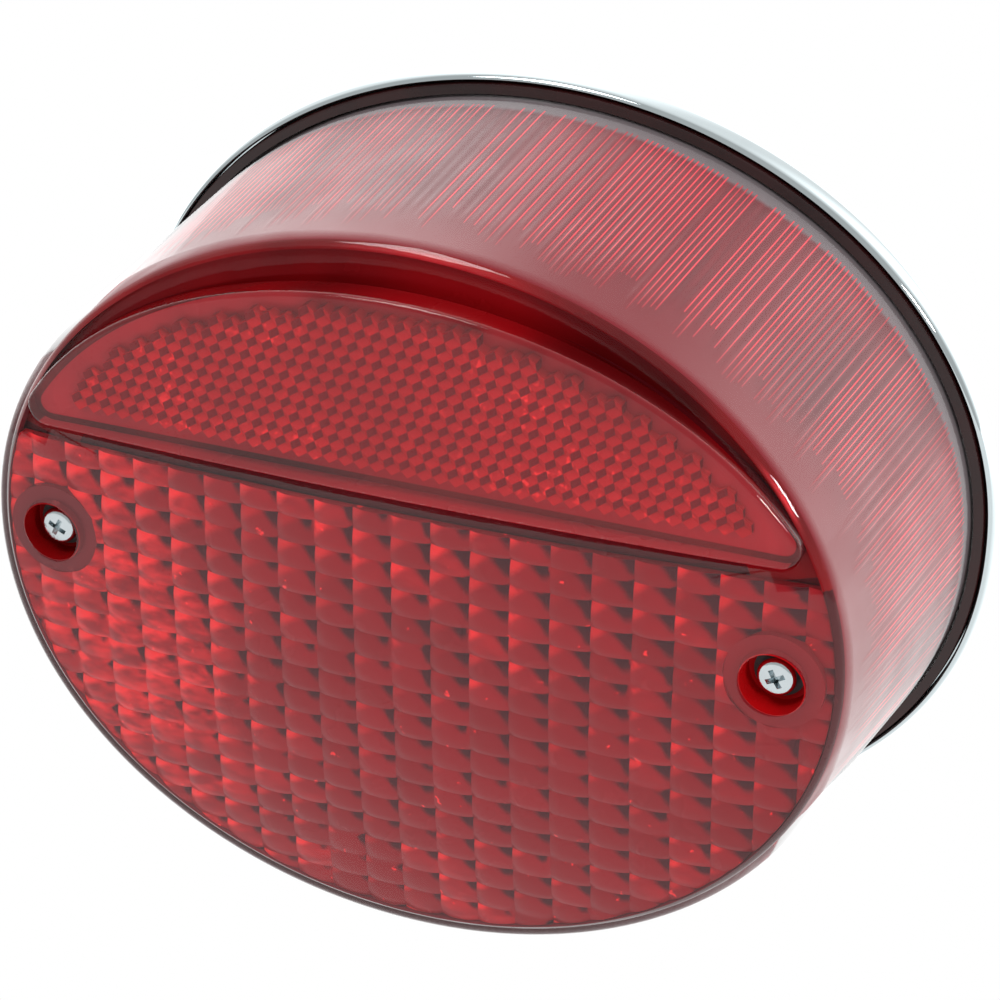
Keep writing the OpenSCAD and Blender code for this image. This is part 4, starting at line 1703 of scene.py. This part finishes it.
@dataclass
class Base:
    """The chromed pan with its gasket, pad, studs and grommet."""

    form: Form
    palette: dict[str, bpy.types.Material]
    rim_over: float = 3.8
    pad_t: float = 3.0
    pan_t: float = 1.2
    stud_r: float = 3.0
    stud_hole_r: float = 3.3
    points: int = 360
    smooth: float = 40.0

    def build(self) -> list[bpy.types.Object]:
        """Builds the base's pieces.

        Returns:
            The pieces.
        """
        return [self.pan(), self.gasket(), self.pad(), *self.studs()]

    def _angles(self) -> np.ndarray:
        """Angles round the oval."""
        return np.linspace(0, 2 * np.pi, self.points, endpoint=False)

    def pan(self) -> bpy.types.Object:
        """The pressed pan with its rolled rim, brim and bowl.

        Returns:
            The piece.
        """
        f = self.form
        rim, rear = f.seat_y, -self.pad_t
        brim, floor = rim + 5.5, rear - self.pan_t
        angle = self._angles()

        def rings(level: float, *profile: tuple[float, float]) -> list[np.ndarray]:
            """Rings at heights over a level, each grown from the seat's oval."""
            return [f.seat_ring(angle, grow, level + rise) for grow, rise in profile]

        def disc(grow: float, share: float, y: float) -> np.ndarray:
            """A ring of a flat disc, shrunk towards its centre."""
            return f.ring(f.seat(angle, grow) * share + np.array([0, -f.seat_drop * (1 - share)]), y)

        over = self.rim_over
        patch = Patch()
        patch.loft(
            [
                *(disc(-14.4, share, floor) for share in (0.2, 0.6)),
                *rings(rear, (-14.4, -self.pan_t), (-12, -3), (-10.6, -6)),
                *rings(brim, (-9.6, 6)),
                *rings(rim, (-8.2, 4), (2.42, 4)),
                *rings(rim, (2.42, 1.0), (2.5, 0.7), (2.75, 0.5), (3.1, 0.62), (3.45, 1.15), (3.68, 1.9)),
                *rings(rim, (over, 2.8), (over, 3.9), (3.66, 4.7), (3.3, 5.3), (2.7, 5.55)),
                *rings(brim, (1.8, 0.1), (-5.6, 0), (-6.6, 0.25), (-7.3, 0.9), (-7.7, 1.8), (-8.4, 6)),
                *rings(rear, (-9.4, -6), (-9.9, -3.9), (-10.8, -2.2), (-12.3, -0.7), (-14, 0)),
                *(disc(-14, share, rear) for share in (0.6, 0.2)),
            ],
            None,
            ((0.0, floor, -f.seat_drop), (0.0, rear, -f.seat_drop)),
        )
        pan = patch.build("chrome_pan", [self.palette["chrome"]], self.smooth)
        for x, z, r in self._holes(6.0, 2.5):
            bore(pan, (x, z), r, (rear - 8, rear + 4), self.smooth)
        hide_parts("base_pan")
        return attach(pan, "base")

    def _stud_places(self) -> list[tuple[float, float]]:
        """X and Z of the three studs, from the record's mount.

        Returns:
            The places, in millimetres.
        """
        mount = next(m for m in FRAME["record"]["mounts"] if m["name"] == "mounting_studs")
        radius = mount["dims"]["pcd_mm"] / 2
        return [(radius * math.cos(a), radius * math.sin(a)) for a in np.radians([90, 210, 330])]

    def _holes(self, grommet_r: float, drain_r: float) -> list[tuple[float, float, float]]:
        """X, Z and radius of the holes for the studs, the grommet and the two drains.

        Args:
            grommet_r: Radius of the grommet's hole.
            drain_r: Radius of each drain.

        Returns:
            The holes.
        """
        low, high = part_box("wire_grommet")
        grommet = ((low.x + high.x) / 2 / MM, (low.z + high.z) / 2 / MM, grommet_r)
        drains = [(sign * 40.0, -30.0, drain_r) for sign in SIDES.values()]
        return [*((x, z, self.stud_hole_r) for x, z in self._stud_places()), grommet, *drains]

    def gasket(self) -> bpy.types.Object:
        """The rubber gasket, with a soft bead on its outer edge.

        Returns:
            The piece.
        """
        f = self.form
        angle = self._angles()
        low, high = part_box("lens_gasket")
        y0, y1 = low.y / MM, high.y / MM
        profile = [(-2.1, y0), (1.7, y0), (2.05, y0 + 0.12), (2.2, y0 + 0.5)]
        profile += [(2.2, y1 - 0.4), (2.0, y1), (-2.1, y1)]
        patch = Patch()
        patch.loft([f.seat_ring(angle, g, y) for g, y in profile], None, wrap=True)
        gasket = patch.build("rim_gasket", [self.palette["rubber"]], self.smooth)
        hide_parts("lens_gasket")
        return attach(gasket, "base")

    def pad(self) -> bpy.types.Object:
        """The rubber mounting pad, with a rounded edge and a raised rib near it.

        Returns:
            The piece.
        """
        f = self.form
        angle = self._angles()
        profile = [(-17, -self.pad_t), (-17, -0.8), (-17.25, -0.25), (-17.8, 0.0)]
        profile += [(-20.5, 0.0), (-20.9, -0.5), (-22.1, -0.5), (-22.5, 0.0)]
        rings = [f.seat_ring(angle, g, y) for g, y in profile]
        patch = Patch()
        patch.loft(rings, None, ((0, -self.pad_t, -f.seat_drop), (0, 0, -f.seat_drop)))
        pad = patch.build("rubber_pad", [self.palette["rubber"]], self.smooth)
        for x, z, r in self._holes(8.6, 3.5):
            bore(pad, (x, z), r, (-6, 3), self.smooth)
        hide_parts("mounting_pad")
        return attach(pad, "base")

    def studs(self) -> list[bpy.types.Object]:
        """The three studs, each with a hexagon head inside the pan and a cut thread.

        Returns:
            The three pieces.
        """
        made = []
        _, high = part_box("mounting_studs")
        inner, end = -self.pad_t - self.pan_t, high.y / MM
        hexagon = np.radians(np.arange(0, 360, 60))
        angle = np.linspace(0, 2 * np.pi, 48, endpoint=False)
        head = [circle(r, y, hexagon) for r, y in ((4.6, inner - 4.0), (5.0, inner - 3.6), (5.0, inner))]
        shank = [circle(self.stud_r, y, angle) for y in (inner - 0.5, 0.4)]
        shank += threaded(self.stud_r, 0.5, 1.0, 0.6, end, len(angle))
        for index, (x, z) in enumerate(self._stud_places()):
            patch = Patch()
            patch.loft(head, None, ((0, inner - 4.0, 0), (0, inner, 0)))
            patch.loft(shank, None, ((0, inner - 0.5, 0), (0, end - 0.05, 0)))
            stud = patch.build(f"stud_{index + 1}", [self.palette["zinc"]])
            stud.data.transform(Matrix.Translation((x * MM, 0, z * MM)))
            if index == 0:
                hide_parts("mounting_studs")
            made.append(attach(stud, "base"))
        return made


# ---------------------------------------------------------------------------
# Carried-over nodes
# ---------------------------------------------------------------------------


@dataclass(frozen=True)
class NodeFinishes:
    """Which finish each carried-over CAD node wears."""

    finishes: tuple[tuple[str, str], ...] = (
        ("wire_grommet", "rubber"),
        ("reflector_plate", "bright"),
        ("plate_rivets", "zinc"),
        ("screw_post", "zinc"),
        ("screw_seals", "rubber"),
        ("socket_shell", "zinc"),
        ("contact_disc", "fibre"),
        ("contact_studs", "brass"),
        ("contact_spring", "spring"),
        ("socket_cap", "fibre"),
        ("bulb_cap", "brass"),
        ("bulb_glass", "glass"),
        ("bulb_filaments", "tungsten"),
        ("licence_socket", "nylon"),
        ("licence_contacts", "brass"),
        ("licence_bulb", "glass"),
        ("licence_filament", "tungsten"),
    )

    def dress(self, nodes: dict[str, bpy.types.Object], palette: dict[str, bpy.types.Material]) -> None:
        """Gives every CAD node that shows its finish.

        Args:
            nodes: The frame's nodes.
            palette: The materials.
        """
        for name, node in nodes.items():
            for start, finish in self.finishes:
                if name.startswith(start):
                    node.data.materials.clear()
                    node.data.materials.append(palette[finish])
                    LOG.info("node %s wears %s", name, finish)


# ---------------------------------------------------------------------------
# Studio
# ---------------------------------------------------------------------------


@dataclass
class Studio:
    """Camera, soft white surroundings, lamps and the pale floor."""

    target: tuple[float, float, float] = (6.8, -66.0, 6.3)
    azimuth: float = 23.99
    elevation: float = 28.93
    roll: float = -1.09
    distance: float = 499.7
    lens_mm: float = 101.9
    floor_drop: float = 0.26
    front_light: float = 0.5
    back_light: float = 0.95
    side_light: float = 0.9

    def build(self) -> None:
        """Sets up everything that isn't the lamp."""
        self.camera()
        self.world()
        self.floor()
        self.lamps()
        bpy.context.scene.view_settings.view_transform = "Standard"

    def camera(self) -> None:
        """Places the camera in front, to the right and above."""
        az, el, roll = (math.radians(v) for v in (self.azimuth, self.elevation, self.roll))
        back = Vector((math.sin(az) * math.cos(el), -math.cos(az) * math.cos(el), math.sin(el)))
        right = Vector((math.cos(az), math.sin(az), 0.0))
        up = back.cross(right)
        across = right * math.cos(roll) + up * math.sin(roll)
        above = back.cross(across)
        data = bpy.data.cameras.new("camera")
        data.lens = self.lens_mm
        data.clip_end = 20.0
        camera = placed("camera", data)
        place = Vector(self.target) * MM + back * self.distance * MM
        camera.matrix_world = Matrix((
            (across.x, above.x, back.x, place.x),
            (across.y, above.y, back.y, place.y),
            (across.z, above.z, back.z, place.z),
            (0, 0, 0, 1),
        ))
        bpy.context.scene.camera = camera

    def world(self) -> None:
        """A white room that is brighter behind the lamp than in front of it."""
        world = bpy.data.worlds.new("white_room")
        world.use_nodes = True
        bpy.context.scene.world = world
        tree = Tree(world.node_tree)
        background = world.node_tree.nodes["Background"]
        direction = tree.add("SeparateXYZ", Vector=tree.add("TexCoord").outputs["Generated"])
        depth = tree.ramp(direction.outputs["Y"], -0.15, 0.5, self.front_light, self.back_light)
        side = tree.math("ABSOLUTE", tree.math("SUBTRACT", direction.outputs["X"], 0.1))
        fall = tree.ramp(direction.outputs["X"], -0.75, -0.5, 0.1, 1.0)
        glow = tree.math("MULTIPLY", tree.ramp(direction.outputs["Y"], 0.2, 0.7), tree.ramp(side, 0.05, 0.5))
        glow = tree.math("MULTIPLY", glow, fall)
        depth = tree.math("ADD", depth, tree.math("MULTIPLY", glow, self.side_light))
        seen = tree.add("LightPath").outputs["Is Camera Ray"]
        strength = tree.add("Mix", {"data_type": "FLOAT"})
        for index, value in ((0, seen), (2, depth), (3, 1.0)):
            tree.feed(strength.inputs[index], value)
        background.inputs["Color"].default_value = (1.0, 1.0, 1.0, 1.0)
        tree.feed(background.inputs["Strength"], strength.outputs[0])

    def floor(self) -> None:
        """A pale floor, clear from below, that is as bright as the room."""
        low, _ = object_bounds()
        level = low.z - self.floor_drop
        mesh = bpy.data.meshes.new("floor")
        half = 6.0
        corners = [(-half, -half, level), (half, -half, level), (half, half, level), (-half, half, level)]
        mesh.from_pydata(corners, [], [(0, 1, 2, 3)])
        floor = placed("floor", mesh)
        material = bpy.data.materials.new("pale_floor")
        material.use_nodes = True
        tree = Tree(material.node_tree)
        nodes = material.node_tree.nodes
        nodes.remove(nodes["Principled BSDF"])
        seen = tree.add("Emission", Color=(1.0, 1.0, 1.0, 1.0), Strength=1.0)
        away = tree.add("SeparateXYZ", Vector=tree.position()).outputs["Y"]
        cloud = tree.ramp(tree.noise(tree.position(), 3.0), 0.3, 0.7, 0.97, 1.03)
        glow = tree.math("MULTIPLY", tree.ramp(away, -0.1, 0.9, 0.92, 1.65), cloud)
        felt = tree.add("Emission", Color=(1.0, 1.0, 1.0, 1.0), Strength=glow)
        shown = tree.either(tree.add("LightPath").outputs["Is Camera Ray"], felt, seen)
        backface = tree.add("NewGeometry").outputs["Backfacing"]
        under = tree.either(backface, shown, tree.add("BsdfTransparent"))
        tree.feed(nodes["Material Output"].inputs["Surface"], under.outputs[0])
        mesh.materials.append(material)
        floor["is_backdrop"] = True

    def lamps(self) -> None:
        """Two soft boxes, above and at the right."""
        for name, place, size, power in (
            ("soft_box_above", (-0.25, -0.35, 0.75), 0.3, 2.0),
            ("soft_box_right", (0.8, -0.5, 0.4), 0.16, 2.2),
        ):
            data = bpy.data.lights.new(name, "AREA")
            data.energy = power
            data.size = size
            light = placed(name, data)
            light.location = place
            aim = Vector((0, -0.06, 0)) - Vector(place)
            light.rotation_mode = "QUATERNION"
            light.rotation_quaternion = aim.to_track_quat("-Z", "Y")


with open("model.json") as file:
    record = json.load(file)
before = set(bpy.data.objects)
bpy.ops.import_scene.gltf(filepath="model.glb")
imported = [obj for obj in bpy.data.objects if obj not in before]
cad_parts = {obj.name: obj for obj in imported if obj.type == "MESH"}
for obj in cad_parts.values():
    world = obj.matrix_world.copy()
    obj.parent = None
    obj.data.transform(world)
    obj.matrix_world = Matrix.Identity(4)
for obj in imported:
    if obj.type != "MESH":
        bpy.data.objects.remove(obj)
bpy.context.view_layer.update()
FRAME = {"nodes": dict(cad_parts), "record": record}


def main() -> None:
    """Builds the lamp's looks in order and reports each piece."""
    logging.basicConfig(level=logging.INFO, format="%(name)s: %(message)s")
    palette = Palette().build()
    form = Form.from_frame()
    Studio().build()
    pieces = Lens(form, palette).build()
    pieces += LensScrews(palette).build()
    pieces += Base(form, palette).build()
    NodeFinishes().dress(FRAME["nodes"], palette)
    for piece in pieces:
        LOG.info("%s has %d faces", piece.name, len(piece.data.polygons))


if __name__ == "__main__":
    main()
